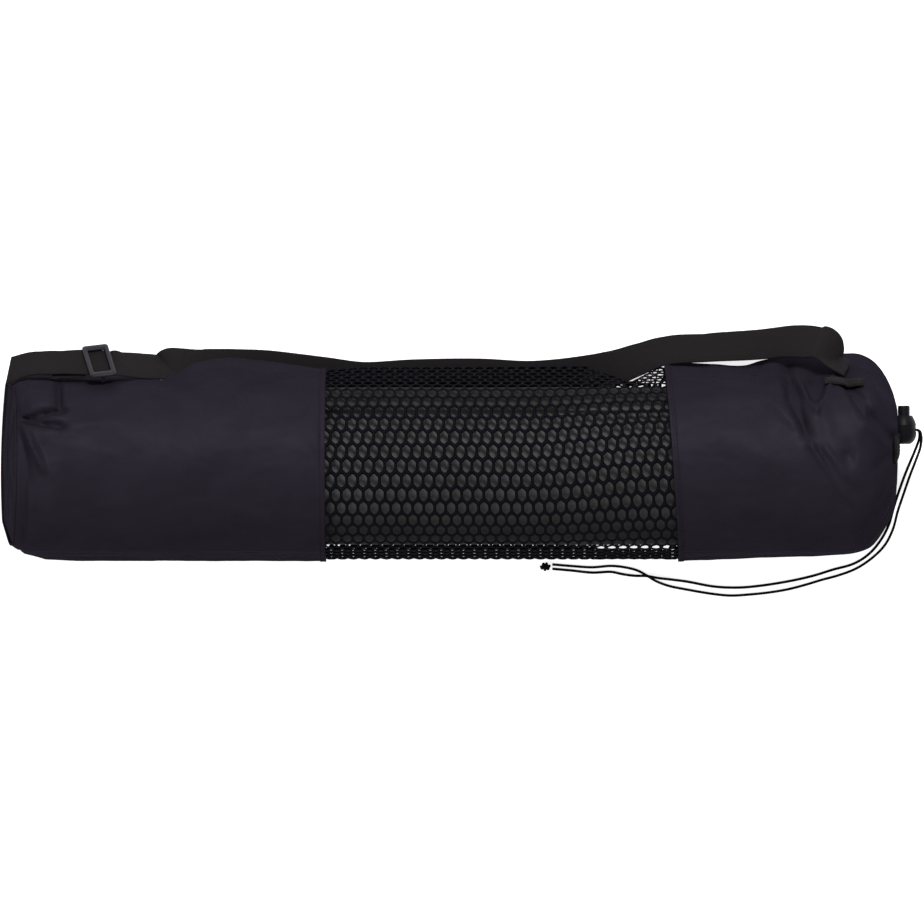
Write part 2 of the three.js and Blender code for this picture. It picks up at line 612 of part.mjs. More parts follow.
const webSection = ({ middle, inward, up }, width, thickness, rise = 0) => [[-1, -1], [1, -1], [1, 1], [-1, 1]]
  .map(([side, face]) => middle.clone().addScaledVector(inward, side * width / 2)
    .addScaledVector(up, face * thickness / 2 + rise))

const strapSteps = 58
add('shoulder_strap', bar(Array.from({ length: strapSteps + 1 }, (_, i) =>
  webSection(strapFrame(i / strapSteps), strapWidth, strapThickness))), webbing)

// Slider: side bars over the strap, middle bar under it, joined beyond its edges
const sliderShare = 4 / (strapTable.length - 1)
{
  const frame = strapFrame(sliderShare)
  const inside = strapWidth + 2 * sliderRoom
  const across = inside + 2 * sliderBar
  const alongLength = 3 * sliderBar + 2 * sliderSlot
  const rounded = (w, h, r) => {
    const shape = new THREE.Shape()
    shape.moveTo(-w / 2 + r, -h / 2)
    shape.lineTo(w / 2 - r, -h / 2).absarc(w / 2 - r, -h / 2 + r, r, -Math.PI / 2, 0)
    shape.lineTo(w / 2, h / 2 - r).absarc(w / 2 - r, h / 2 - r, r, 0, Math.PI / 2)
    shape.lineTo(-w / 2 + r, h / 2).absarc(-w / 2 + r, h / 2 - r, r, Math.PI / 2, Math.PI)
    shape.lineTo(-w / 2, -h / 2 + r).absarc(-w / 2 + r, -h / 2 + r, r, Math.PI, 1.5 * Math.PI)
    return shape
  }
  const rise = strapThickness / 2 + sliderLift
  const bevel = { bevelEnabled: true, bevelThickness: 0.5, bevelSize: 0.5, bevelOffset: -0.5, bevelSegments: 1 }
  const ring = rounded(alongLength, across, sliderCorner)
  const window = rounded(alongLength - 2 * sliderBar, inside, 1)
  ring.holes.push(new THREE.Path(window.getPoints(2).reverse()))
  const plate = toManifold(new THREE.ExtrudeGeometry(ring, { depth: sliderThickness - 1, curveSegments: 2, ...bevel })
    .translate(0, 0, rise + 0.5))
  const under = toManifold(new THREE.BoxGeometry(sliderBar, across - 2, sliderThickness)
    .translate(0, 0, -rise - sliderThickness / 2))
  const post = side => toManifold(new THREE.BoxGeometry(sliderBar, sliderPostDepth, 2 * rise + sliderThickness + 0.4)
    .translate(0, side * (inside / 2 + sliderBar / 2), 0.2))
  const body = plate.add(under).add(post(1)).add(post(-1))
  const basis = new THREE.Matrix4().makeBasis(frame.along, new THREE.Vector3().crossVectors(frame.up, frame.along),
    frame.up).multiply(new THREE.Matrix4().makeRotationZ(THREE.MathUtils.degToRad(sliderTurn)))
    .setPosition(frame.middle)
  add('strap_slider', fromManifold(body).applyMatrix4(basis), plastic)
}

// Strap tail folded back beneath the strap beside the slider
{
  const room = (1.5 * sliderBar + sliderSlot + gap) / bagLength / (strapTable[4][0] - strapTable[3][0])
  const reach = tailLength / bagLength / (strapTable[3][0] - strapTable[2][0])
  const rings = [0, 0.2, 0.4, 0.6, 0.8, 1].map(share => {
    const frame = strapFrame(sliderShare - (room + share * reach) / (strapTable.length - 1))
    frame.middle.addScaledVector(frame.inward, tailShift * share)
    return webSection(frame, strapWidth, strapThickness, -strapThickness - 3 * gap)
  })
  add('strap_tail', bar(rings), webbing)
}

// Webbing tabs sewn on near the mouth: rows and angles round the crown that each covers
function tab(name, rows, angles, stand) {
  add(name, bar(rows.map(r => {
    const [under, over] = [[], []]
    for (const angle of angles) {
      const n = wheel(angle)
      const p = { y: r.side + r.crown * n.y, z: r.height + r.crown * n.z, n }
      const fold = foldAt(r, p) + gatherAt(r, p) + stand
      under.push(place(r, p, 0, fold))
      over.unshift(place(r, p, 0, fold + strapThickness))
    }
    return [...under, ...over]
  })), webbing)
}
function mouthRowAt(share) {
  const s = share * (mouthRows.length - 1)
  const k = Math.min(Math.floor(s), mouthRows.length - 2)
  return blend(mouthRows[k], mouthRows[k + 1], s - k)
}
tab('mouth_tab', [0.383, 0.43, 0.47, 0.51].map(mouthRowAt), [0.12, 0.27, 0.42], mouthTabStand)
tab('casing_tab', [0.74, 0.78, 0.82].map(mouthRowAt), [1.3, 1.55, 1.8], casingTabStand)

// Rolled mat with the step where its outer end lies on the turn below
{
  const flap = THREE.MathUtils.degToRad(matFlapAngle)
  const outline = Array.from({ length: matSteps + 1 }, (_, k) => {
    const share = k / matSteps
    const sunk = THREE.MathUtils.smoothstep(share, 0.62, 1) * matThickness
    const n = wheel(flap - 2 * Math.PI * share)
    return new THREE.Vector2((matRadius - sunk) * n.y, (matRadius - sunk) * n.z)
  }).reverse()
  const section = new THREE.Shape(outline)
  const core = Array.from({ length: 12 }, (_, k) => {
    const n = wheel(-2 * Math.PI * k / 12)
    return new THREE.Vector2(matCoreRadius * n.y, matCoreRadius * n.z)
  })
  section.holes.push(new THREE.Path(core))
  const roll = new THREE.ExtrudeGeometry(section, { depth: matLength, bevelEnabled: false })
  roll.applyMatrix4(new THREE.Matrix4().makeBasis(new THREE.Vector3(0, 1, 0), new THREE.Vector3(0, 0, 1),
    new THREE.Vector3(1, 0, 0)))
  add('rolled_mat', roll.translate(baseDepth, 0, matAxis), foam)
}

// Origin on the floor, under the middle of everything but the free cord
const box = new THREE.Box3()
for (const mesh of bag.children) if (!onCord.has(mesh)) box.expandByObject(mesh, true)
const middle = box.getCenter(new THREE.Vector3())
bag.position.set(-middle.x, -middle.y, -box.min.z)

export default bag
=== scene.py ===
import math

import bmesh
import bpy
import numpy as np
from bpy.props import FloatProperty, FloatVectorProperty, IntProperty, PointerProperty
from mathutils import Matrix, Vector, noise


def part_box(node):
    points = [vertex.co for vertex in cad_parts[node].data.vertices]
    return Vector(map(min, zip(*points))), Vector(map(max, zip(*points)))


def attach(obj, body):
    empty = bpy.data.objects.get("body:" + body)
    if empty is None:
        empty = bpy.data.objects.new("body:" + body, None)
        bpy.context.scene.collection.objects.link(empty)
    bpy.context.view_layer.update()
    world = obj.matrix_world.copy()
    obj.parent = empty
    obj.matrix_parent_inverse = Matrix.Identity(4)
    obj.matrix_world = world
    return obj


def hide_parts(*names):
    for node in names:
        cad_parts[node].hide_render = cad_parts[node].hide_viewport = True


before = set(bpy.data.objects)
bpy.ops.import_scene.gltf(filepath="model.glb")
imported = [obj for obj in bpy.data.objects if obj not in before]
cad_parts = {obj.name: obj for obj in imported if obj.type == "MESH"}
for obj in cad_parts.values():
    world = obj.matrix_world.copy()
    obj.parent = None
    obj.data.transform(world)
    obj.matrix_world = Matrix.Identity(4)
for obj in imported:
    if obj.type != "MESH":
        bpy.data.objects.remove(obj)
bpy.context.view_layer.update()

bl_info = {
    "name": "Yoga mat bag",
    "version": (1, 0, 0),
    "blender": (4, 5, 0),
    "location": "3D View > Sidebar > Mat Bag",
    "description": "Soft tube bag with a net middle, a drawn mouth and a shoulder strap, round a rolled mat",
    "category": "Object",
}

BODY = "bag"
PLUNGER = "lock_plunger"

# Working frame, in millimetres: the mat's axis runs along X at y = 0 and the base end is at x = 0.
# The middle of the cord lock ties it to the frame.
LOCK = np.array([660.9, 26.6, 50.0])
_low, _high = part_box("cord_lock_body")
SHIFT = np.array([(_low[i] + _high[i]) * 500 for i in range(3)]) - LOCK

MAT_RADIUS = 58.0
CROWN = 63.0
MAT_AXIS = 61.4
NEAR_EDGE = -70.0
FAR_EDGE = 75.0
CORNER = 4.0
CORNER_REACH = 0.3
BASE_DEPTH = 18.0
BASE_LEAN = 14.0
BASE_BULGE = 3.4
BASE_SEAM = 237.0
MOUTH_SEAM = 491.0
MOUTH_SPAN = 167.0
MAT_END = 628.0
MAT_UNDERCUT = 3.4
BAG_LENGTH = 658.0
SEAM_SLANT = 9.0
NET_INSET = 1.7
NET_TALL = 1.36
FOOT = 0.72
MOUTH_RADIUS = 12.5
MOUTH_SIDE = 24.0
MOUTH_HEIGHT = 50.0
MOUTH_FACE = 650.5
GATHERS = 11
FOLD_SIDEWAYS = 0.3

# The flat view: millimetres for each step of the fold tables, and the place of their zero
FLAT_SCALE = 0.7325
FLAT_ZERO = (2.0, 466.0)


def flat(u, v):
    return (u - FLAT_ZERO[0]) * FLAT_SCALE, (FLAT_ZERO[1] - v) * FLAT_SCALE


# Sizes and colours

def length(name, default, text, low=0.0, high=1.0):
    return FloatProperty(name=name, description=text, default=default, min=low, max=high, unit="LENGTH", subtype="DISTANCE",
                         precision=4)


def colour(name, default, text):
    return FloatVectorProperty(name=name, description=text, default=default, size=3, min=0.0, max=1.0, subtype="COLOR")


class MatBagSizes(bpy.types.PropertyGroup):
    cloth_thickness: length("Cloth thickness", 0.0009, "Thickness of the sleeves' cloth", 0.0003, 0.002)
    net_thread: length("Net thread", 0.0014, "Height of the net's thread over its gaps", 0.0004, 0.0015)
    net_open: FloatProperty(name="Net opening", description="Share of a net cell that is open", default=0.70, min=0.4,
                            max=0.9, subtype="FACTOR")
    net_columns: IntProperty(name="Net columns", description="Net cells along the bag", default=32, min=8, max=40)
    strap_width: length("Strap width", 0.028, "Width of the webbing", 0.015, 0.05)
    strap_thickness: length("Strap thickness", 0.0016, "Thickness of the webbing", 0.0008, 0.003)
    cord_diameter: length("Cord diameter", 0.002, "Diameter of the drawcord", 0.001, 0.004)
    mat_thickness: length("Mat thickness", 0.006, "Thickness of one turn of the mat", 0.003, 0.01)
    stitch: length("Stitch", 0.0026, "Length of one stitch", 0.001, 0.006)


class MatBagColours(bpy.types.PropertyGroup):
    cloth: colour("Cloth", (0.0230, 0.0195, 0.0285), "Charcoal nylon of the sleeves")
    net: colour("Net", (0.0064, 0.0060, 0.0088), "Knitted net")
    webbing: colour("Webbing", (0.0222, 0.0200, 0.0212), "Shoulder strap and tabs")
    plastic: colour("Plastic", (0.0080, 0.0075, 0.0090), "Cord lock")
    slider: colour("Slider", (0.0250, 0.0228, 0.0285), "Slider of the strap")
    cord: colour("Cord", (0.0040, 0.0040, 0.0045), "Drawcord")
    foam: colour("Foam", (0.0700, 0.0700, 0.0700), "Rolled mat")
    floor: colour("Floor", (0.90, 0.90, 0.90), "Floor under the bag")


# Meshes

def mesh_object(name, points, faces, material, body=BODY, smooth=True, uvs=None):
    """A mesh from points in the working frame, riding on its body"""
    mesh = bpy.data.meshes.new(name)
    metres = (np.asarray(points, float) + SHIFT) / 1000
    mesh.from_pydata([tuple(p) for p in metres], [], [tuple(int(i) for i in f) for f in faces])
    mesh.validate()
    if uvs is not None:
        layer = mesh.uv_layers.new(name="UVMap")
        loops = np.empty(len(mesh.loops), np.int32)
        mesh.loops.foreach_get("vertex_index", loops)
        layer.data.foreach_set("uv", np.asarray(uvs, np.float32)[loops].ravel())
    mesh.polygons.foreach_set("use_smooth", [smooth] * len(mesh.polygons))
    mesh.materials.append(material)
    piece = bpy.data.objects.new(name, mesh)
    bpy.context.scene.collection.objects.link(piece)
    turn_outwards(piece)
    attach(piece, body)
    return piece


def turn_outwards(piece):
    work = bmesh.new()
    work.from_mesh(piece.data)
    bmesh.ops.recalc_face_normals(work, faces=work.faces)
    work.to_mesh(piece.data)
    work.free()


def weld(piece, distance):
    work = bmesh.new()
    work.from_mesh(piece.data)
    bmesh.ops.remove_doubles(work, verts=work.verts, dist=distance)
    bmesh.ops.recalc_face_normals(work, faces=work.faces)
    work.to_mesh(piece.data)
    work.free()


def grid_faces(rows, around, closed=True, start=0):
    faces = []
    for i in range(rows - 1):
        for k in range(around if closed else around - 1):
            a, b = start + i * around + k, start + i * around + (k + 1) % around
            faces.append((a, b, b + around, a + around))
    return faces


def shell(outer, inner):
    """A closed wall between two grids of rings"""
    outer, inner = np.asarray(outer), np.asarray(inner)
    rows, around = outer.shape[:2]
    faces = grid_faces(rows, around) + [f[::-1] for f in grid_faces(rows, around, start=rows * around)]
    for edge in (0, rows - 1):
        for k in range(around):
            a, b = edge * around + k, edge * around + (k + 1) % around
            c, d = b + rows * around, a + rows * around
            faces.append((a, b, c, d))
    return np.concatenate([outer.reshape(-1, 3), inner.reshape(-1, 3)]), faces


def inward(grid, depth):
    """The same grid set in along its own normals"""
    along = np.empty_like(grid)
    along[1:-1] = grid[2:] - grid[:-2]
    along[0] = grid[1] - grid[0]
    along[-1] = grid[-1] - grid[-2]
    around = np.roll(grid, -1, axis=1) - np.roll(grid, 1, axis=1)
    normal = np.cross(around, along)
    normal /= np.maximum(np.linalg.norm(normal, axis=2, keepdims=True), 1e-9)
    return grid - normal * depth


def join(pieces, name):
    bpy.ops.object.select_all(action="DESELECT")
    for piece in pieces:
        piece.select_set(True)
    bpy.context.view_layer.objects.active = pieces[0]
    bpy.ops.object.join()
    pieces[0].name = name
    return pieces[0]


def centripetal(points, at):
    """Places on a centripetal Catmull-Rom line, and its directions"""
    points = np.asarray(points, float)
    last = len(points) - 1

    def place(t):
        k = min(int(math.floor(t * last)), last - 1)
        w = t * last - k
        p1, p2 = points[k], points[k + 1]
        p0 = points[k - 1] if k > 0 else 2 * points[0] - points[1]
        p3 = points[k + 2] if k + 2 <= last else 2 * points[last] - points[last - 1]
        gaps = [math.sqrt(np.linalg.norm(b - a)) for a, b in ((p0, p1), (p1, p2), (p2, p3))]
        d1 = gaps[1] or 1.0
        d0, d2 = gaps[0] or d1, gaps[2] or d1
        t1 = ((p1 - p0) / d0 - (p2 - p0) / (d0 + d1) + (p2 - p1) / d1) * d1
        t2 = ((p2 - p1) / d1 - (p3 - p1) / (d1 + d2) + (p3 - p2) / d2) * d1
        return p1 + w * t1 + w * w * (3 * (p2 - p1) - 2 * t1 - t2) + w ** 3 * (2 * (p1 - p2) + t1 + t2)

    middle = np.array([place(t) for t in at])
    ways = []
    for t in at:
        way = place(min(t + 1e-4, 1)) - place(max(t - 1e-4, 0))
        ways.append(way / np.linalg.norm(way))
    return middle, np.array(ways)


# Girth of the bag

# Far edge of the slack cloth: share of the bag's length, reach, rise over the floor, place of the foot
FLANGE = np.array([
    (0.000, 0.920, 0.000, 0.720), (0.087, 0.935, 0.000, 0.720), (0.152, 0.880, 0.000, 0.780),
    (0.179, 0.842, 0.935, 0.985), (0.210, 0.996, 0.600, 0.800), (0.228, 1.033, 0.470, 0.740),
    (0.254, 1.064, 0.310, 0.700), (0.293, 1.027, 0.140, 0.700), (0.354, 0.960, 0.085, 0.700),
    (0.398, 1.000, 0.048, 0.720), (0.653, 1.007, 0.085, 0.700), (0.707, 0.842, 0.935, 0.985),
    (0.741, 0.996, 0.000, 0.720), (1.000, 0.996, 0.000, 0.720)])

# Base end: share of its depth, lean, crown, near edge, far edge
BASE = np.array([
    (0.08, 1.00, 0.92, 0.60, 0.90), (0.34, 0.86, 0.97, 0.78, 0.95), (0.80, 0.64, 1.00, 0.92, 0.98),
    (1.70, 0.34, 1.00, 0.985, 1.0), (3.20, 0.00, 1.00, 1.0, 1.0)])

# Mouth end: share of its span, crown, middle drawn to the mouth's, near edge, far edge, rise of the underside
MOUTH = np.array([
    (0.000, 1.00, 0.00, 1.00, 1.02, 0.00), (0.180, 1.00, 0.00, 0.99, 1.01, 0.00),
    (0.340, 1.00, 0.00, 0.97, 0.965, 0.00), (0.420, 1.00, 0.00, 0.965, 1.06, 0.00),
    (0.740, 1.00, 0.00, 0.94, 1.10, 0.00), (0.830, 1.00, 0.00, 0.91, 1.11, 0.00),
    (0.895, 0.90, 0.12, 0.85, 1.02, 0.03), (0.955, 0.69, 0.32, 0.63, 0.84, 0.16),
    (0.992, 0.45, 0.62, 0.37, 0.60, 0.44), (0.985, 0.29, 0.88, 0.02, 0.48, 0.80),
    (0.955, 0.205, 1.00, -0.13, 0.45, 1.00)])


def eased(table, blur, fine=40):
    """The table with a soft change from row to row, at fine steps; its ends stay"""
    steps = np.linspace(0, len(table) - 1, (len(table) - 1) * fine + 1)
    reach = int(blur * fine)
    columns = []
    for column in table.T:
        values = np.interp(steps, np.arange(len(table)), column)
        padded = np.concatenate([2 * values[0] - values[reach:0:-1], values, 2 * values[-1] - values[-2:-reach - 2:-1]])
        weights = np.hanning(2 * reach + 1)
        columns.append(np.convolve(padded, weights / weights.sum(), "valid"))
    return steps, np.array(columns).T


MOUTH_STEPS, MOUTH_FINE = eased(MOUTH, 0.85)

ROW = ("x", "lean", "slant", "crown", "side", "height", "near", "far", "rise", "far_rise", "foot")


def smoothstep(x, low, high):
    t = np.clip((np.asarray(x, float) - low) / (high - low), 0, 1)
    return t * t * (3 - 2 * t)


def lookup(table, at):
    """A table's other columns at a value of its first one"""
    return [np.interp(at, table[:, 0], table[:, c]) for c in range(1, table.shape[1])]


def full_row(x, lean=0.0, slant=0.0):
    far, rise, foot = lookup(FLANGE, np.clip(x / BAG_LENGTH, 0, 1))
    return dict(zip(ROW, (x, lean, slant, CROWN, 0.0, CROWN, NEAR_EDGE, far * FAR_EDGE, 0.0, rise * CROWN, foot)))


def base_row(depth):
    lean, crown, near, far = lookup(BASE, depth)
    x = depth * BASE_DEPTH
    row = full_row(x, lean * BASE_LEAN)
    row.update(crown=crown * CROWN, height=crown * CROWN, near=near * NEAR_EDGE, far=far * row["far"])
    return row


def mouth_row(step):
    """A row of the mouth end, by its place in the table so that it can turn back inside"""
    values = [np.interp(step, MOUTH_STEPS, column) for column in MOUTH_FINE.T]
    station, crown, drawn, near, far, rise = values
    height = crown * CROWN + (MOUTH_HEIGHT - crown * CROWN) * drawn
    low = max(0.0, (MOUTH_HEIGHT - MOUTH_RADIUS) * rise)
    slant = SEAM_SLANT * max(0.0, 1 - station / 0.8)
    return dict(zip(ROW, (MOUTH_SEAM + station * MOUTH_SPAN, 0.0, slant, max(crown * CROWN, MOUTH_RADIUS),
                          drawn * MOUTH_SIDE, height, near * NEAR_EDGE, far * FAR_EDGE, low, 0.0, FOOT)))


def girth(row):
    """Lines and arcs in turn round the near corner, foot, far corner and crown"""
    r = min(CORNER, 0.3 * row["crown"])
    crown = (row["side"], row["height"], row["crown"])

    def corner(y, z):
        reach = math.hypot(y - crown[0], z - crown[1])
        stretch = max(1.0, (crown[2] - r + CORNER_REACH) / reach)
        return crown[0] + (y - crown[0]) * stretch, crown[1] + (z - crown[1]) * stretch, r

    near = corner(row["near"] + r, row["rise"] + r)
    far = corner(row["far"] - r, row["rise"] + row["far_rise"] + r)
    foot = (near[0] + (far[0] - near[0]) * row["foot"], near[1], r)
    loop = [near, foot, far, crown]
    turns = []
    for i, c in enumerate(loop):
        d = loop[(i + 1) % 4]
        span = math.hypot(d[0] - c[0], d[1] - c[1])
        turns.append(math.atan2(d[1] - c[1], d[0] - c[0]) - math.pi / 2 + math.asin((c[2] - d[2]) / span))
    pieces = []
    for i, c in enumerate(loop):
        d = loop[(i + 1) % 4]
        n = np.array([math.cos(turns[i]), math.sin(turns[i])])
        start, end = np.array(c[:2]) + c[2] * n, np.array(d[:2]) + d[2] * n
        sweep = turns[(i + 1) % 4] - turns[i]
        while sweep < -1e-9:
            sweep += 2 * math.pi
        pieces.append(("line", start, end, n, float(np.linalg.norm(end - start))))
        pieces.append(("arc", np.array(d[:2]), d[2], (turns[i], sweep), d[2] * sweep))
    return pieces


def girth_at(row, lengths):
    """Places round the girth at lengths from the top of the crown, running down its near side"""
    pieces = girth(row)
    marks = np.concatenate([[0.0], np.cumsum([p[4] for p in pieces])])
    crown = pieces[5]
    top = marks[5] + crown[2] * (math.pi / 2 - crown[3][0])
    s = np.mod(top + np.asarray(lengths, float), marks[-1])
    which = np.clip(np.searchsorted(marks, s, side="right") - 1, 0, 7)
    places, normals = np.zeros((len(s), 2)), np.zeros((len(s), 2))
    for k, piece in enumerate(pieces):
        mine = which == k
        if not mine.any() or piece[4] < 1e-9:
            continue
        share = ((s[mine] - marks[k]) / piece[4])[:, None]
        if piece[0] == "line":
            places[mine] = piece[1] + (piece[2] - piece[1]) * share
            normals[mine] = piece[3]
        else:
            angle = piece[3][0] + piece[3][1] * share[:, 0]
            normals[mine] = np.stack([np.cos(angle), np.sin(angle)], axis=1)
            places[mine] = piece[1] + piece[2] * normals[mine]
    return places, normals


def girth_length(row):
    return sum(p[4] for p in girth(row))


def place(row, places, normals, out):
    y = places[:, 0] + out * normals[:, 0]
    z = places[:, 1] + out * normals[:, 1]
    x = row["x"] + (row["lean"] * z - row["slant"] * y) / (2 * CROWN)
    return np.stack([x, y, z], axis=1)


def folded(row, places, normals, out, rise):
    """The same with a fold's rise, which is mostly upwards so that it stays where the flat view has it"""
    at = place(row, places, normals, out)
    at[:, 1] += FOLD_SIDEWAYS * rise * normals[:, 0]
    at[:, 2] += rise
    return at


# Folds

# Folds in the flat view: from (u, v) to (u, v), height, width, and how sharp its crest is from 0 to 1
BASE_FOLDS = [
    (12, 401, 58, 399, 2.0, 8.0, 0.0), (24, 392, 48, 390, 1.2, 4.0, 0.2),
    (24, 420, 68, 411, -4.2, 2.8, 0.7), (28, 421, 66, 427, -3.2, 2.8, 0.5), (30, 416, 62, 418, 1.0, 2.2, 0.3),
    (59, 382, 61, 408, -3.6, 3.0, 0.4), (24, 420, 47, 471, 2.9, 3.0, 0.5), (24, 428, 35, 486, -1.6, 3.4, 0.2),
    (28, 440, 27, 542, -2.2, 2.6, 0.6), (55, 466, 54, 538, 0.9, 6.0, 0.0), (16, 436, 17, 520, 0.7, 4.0, 0.1),
    (14, 400, 22, 424, -1.2, 2.5, 0.5), (66, 392, 112, 386, -1.4, 5.0, 0.1), (66, 428, 120, 418, 0.6, 5.0, 0.0),
    (180, 366, 270, 362, 1.4, 3.0, 0.2), (250, 369, 321, 376, -1.6, 2.4, 0.6), (262, 363, 320, 369, 1.0, 3.0, 0.2),
    (30, 402, 62, 427, 1.7, 17.0, 0.0), (30, 556, 90, 554, 0.5, 4.0, 0.1), (130, 385, 200, 372, 0.7, 7.0, 0.0), (22, 540, 60, 556, 0.8, 5.0, 0.1),
]
MOUTH_FOLDS = [
    (676, 374, 752, 380, -1.5, 3.0, 0.5), (712, 367, 752, 375, 2.6, 3.6, 0.2), (751, 381, 763, 361, -2.2, 2.4, 0.7),
    (764, 366, 790, 360, 1.2, 3.0, 0.2), (672, 402, 758, 398, 0.9, 6.0, 0.0), (690, 390, 750, 388, -0.5, 5.0, 0.0),
    (787, 364, 793, 401, -5.6, 5.4, 0.3), (793, 399, 806, 440, -5.2, 4.2, 0.4), (774, 366, 782, 402, 1.4, 6.0, 0.1),
    (758, 394, 797, 425, 1.3, 5.0, 0.1), (797, 423, 810, 447, 2.0, 3.6, 0.4), (808, 444, 849, 502, 1.9, 3.0, 0.5),
    (816, 448, 838, 488, -1.1, 2.4, 0.3), (822, 446, 846, 478, 1.2, 2.6, 0.4),
    (795, 376, 815, 412, 2.8, 2.8, 0.4), (815, 412, 833, 378, 2.8, 2.8, 0.4), (814, 376, 815, 402, -5.8, 7.6, 0.1),
    (834, 376, 853, 411, 2.4, 3.4, 0.4), (853, 411, 890, 451, 2.2, 3.6, 0.3),
    (842, 380, 864, 412, -5.8, 6.4, 0.3), (864, 412, 894, 439, -5.2, 5.6, 0.3), (845, 450, 848, 462, -1.4, 5.0, 0.0),
    (852, 462, 850, 560, 0.7, 9.0, 0.0), (820, 410, 828, 436, -0.8, 6.0, 0.0), (862, 364, 890, 402, 1.2, 6.0, 0.0),
    (868, 374, 893, 420, -1.0, 3.0, 0.3), (870, 470, 897, 452, -1.4, 4.0, 0.2), (868, 500, 899, 478, 1.0, 5.0, 0.1),
    (700, 420, 790, 470, 0.5, 12.0, 0.0), (815, 395, 870, 425, 2.3, 24.0, 0.0), (790, 420, 850, 490, 1.1, 20.0, 0.0),
]


def fold_height(folds, x, y, gain=2.6):
    """Height of all folds over the plain surface, at flat places in millimetres"""
    rise = np.zeros_like(x)
    for u0, v0, u1, v1, height, width, sharp in folds:
        (ax, ay), (bx, by) = flat(u0, v0), flat(u1, v1)
        dx, dy = bx - ax, by - ay
        span = dx * dx + dy * dy
        along = ((x - ax) * dx + (y - ay) * dy) / span
        t = np.clip(along, 0, 1)
        away = np.hypot(x - ax - t * dx, y - ay - t * dy) / width
        soft, keen = np.exp(-away * away), np.exp(-1.6 * away)
        ends = 0.45 + 0.55 * np.sin(np.pi * np.clip(along, 0, 1)) ** 0.5
        rise += height * ends * (soft * (1 - sharp) + keen * sharp)
    return rise * gain


def slack(points, seed, size, depth):
    """Soft unevenness of hanging cloth"""
    return np.array([noise.fractal(Vector((p[0] / size + seed, p[1] / (0.6 * size), p[2] / (0.6 * size))), 0.8, 2.0, 3)
                     for p in points]) * depth


# Materials

def node_material(name, base, roughness, specular, sheen=0.0, sheen_roughness=0.5):
    material = bpy.data.materials.new(name)
    material.use_nodes = True
    tree = material.node_tree
    shader = tree.nodes["Principled BSDF"]
    shader.inputs["Base Color"].default_value = (*base, 1)
    shader.inputs["Roughness"].default_value = roughness
    shader.inputs["Specular IOR Level"].default_value = specular
    shader.inputs["Sheen Weight"].default_value = sheen
    shader.inputs["Sheen Roughness"].default_value = sheen_roughness
    return material, tree, shader


def add_node(tree, kind, **values):
    node = tree.nodes.new(kind)
    for key, value in values.items():
        if key in node.inputs:
            node.inputs[key].default_value = value
        else:
            setattr(node, key, value)
    return node


def painted_shade_by_facing(tree, least, none_at, full_at):
    """Painted shade: share of the base colour that shows, less where the surface turns away from the sky, read from its
    world normal
    """
    normal = add_node(tree, "ShaderNodeNewGeometry").outputs["Normal"]
    split = add_node(tree, "ShaderNodeSeparateXYZ")
    tree.links.new(normal, split.inputs["Vector"])
    # Painted shade: full base colour where the normal points up, down to the least share where it points sideways or
    # down
    painted_shade = add_node(tree, "ShaderNodeMapRange", interpolation_type="SMOOTHSTEP")
    for key, value in (("From Min", none_at), ("From Max", full_at), ("To Min", least), ("To Max", 1.0)):
        painted_shade.inputs[key].default_value = value
    tree.links.new(split.outputs["Z"], painted_shade.inputs["Value"])
    return painted_shade.outputs["Result"]


def tinted(tree, shader, base, source, low, high, spread, painted_shade=None):
    """Base colour that varies a little from place to place, multiplied by a painted shade when one is given"""
    ramp = add_node(tree, "ShaderNodeMapRange")
    for key, value in (("From Min", low), ("From Max", high), ("To Min", 1 - spread), ("To Max", 1 + spread)):
        ramp.inputs[key].default_value = value
    tree.links.new(source, ramp.inputs["Value"])
    shade = ramp.outputs["Result"]
    # The painted shade darkens the base colour where the surface faces sideways or down
    if painted_shade is not None:
        both = add_node(tree, "ShaderNodeMath", operation="MULTIPLY")
        tree.links.new(shade, both.inputs[0])
        tree.links.new(painted_shade, both.inputs[1])
        shade = both.outputs["Value"]
    mix = add_node(tree, "ShaderNodeVectorMath", operation="SCALE")
    mix.inputs[0].default_value = base
    tree.links.new(shade, mix.inputs["Scale"])
    tree.links.new(mix.outputs["Vector"], shader.inputs["Base Color"])
    return ramp


def bump(tree, shader, source, strength, distance, after=None):
    node = add_node(tree, "ShaderNodeBump", Strength=strength, Distance=distance)
    tree.links.new(source, node.inputs["Height"])
    if after is not None:
        tree.links.new(after.outputs["Normal"], node.inputs["Normal"])
    tree.links.new(node.outputs["Normal"], shader.inputs["Normal"])
    return node


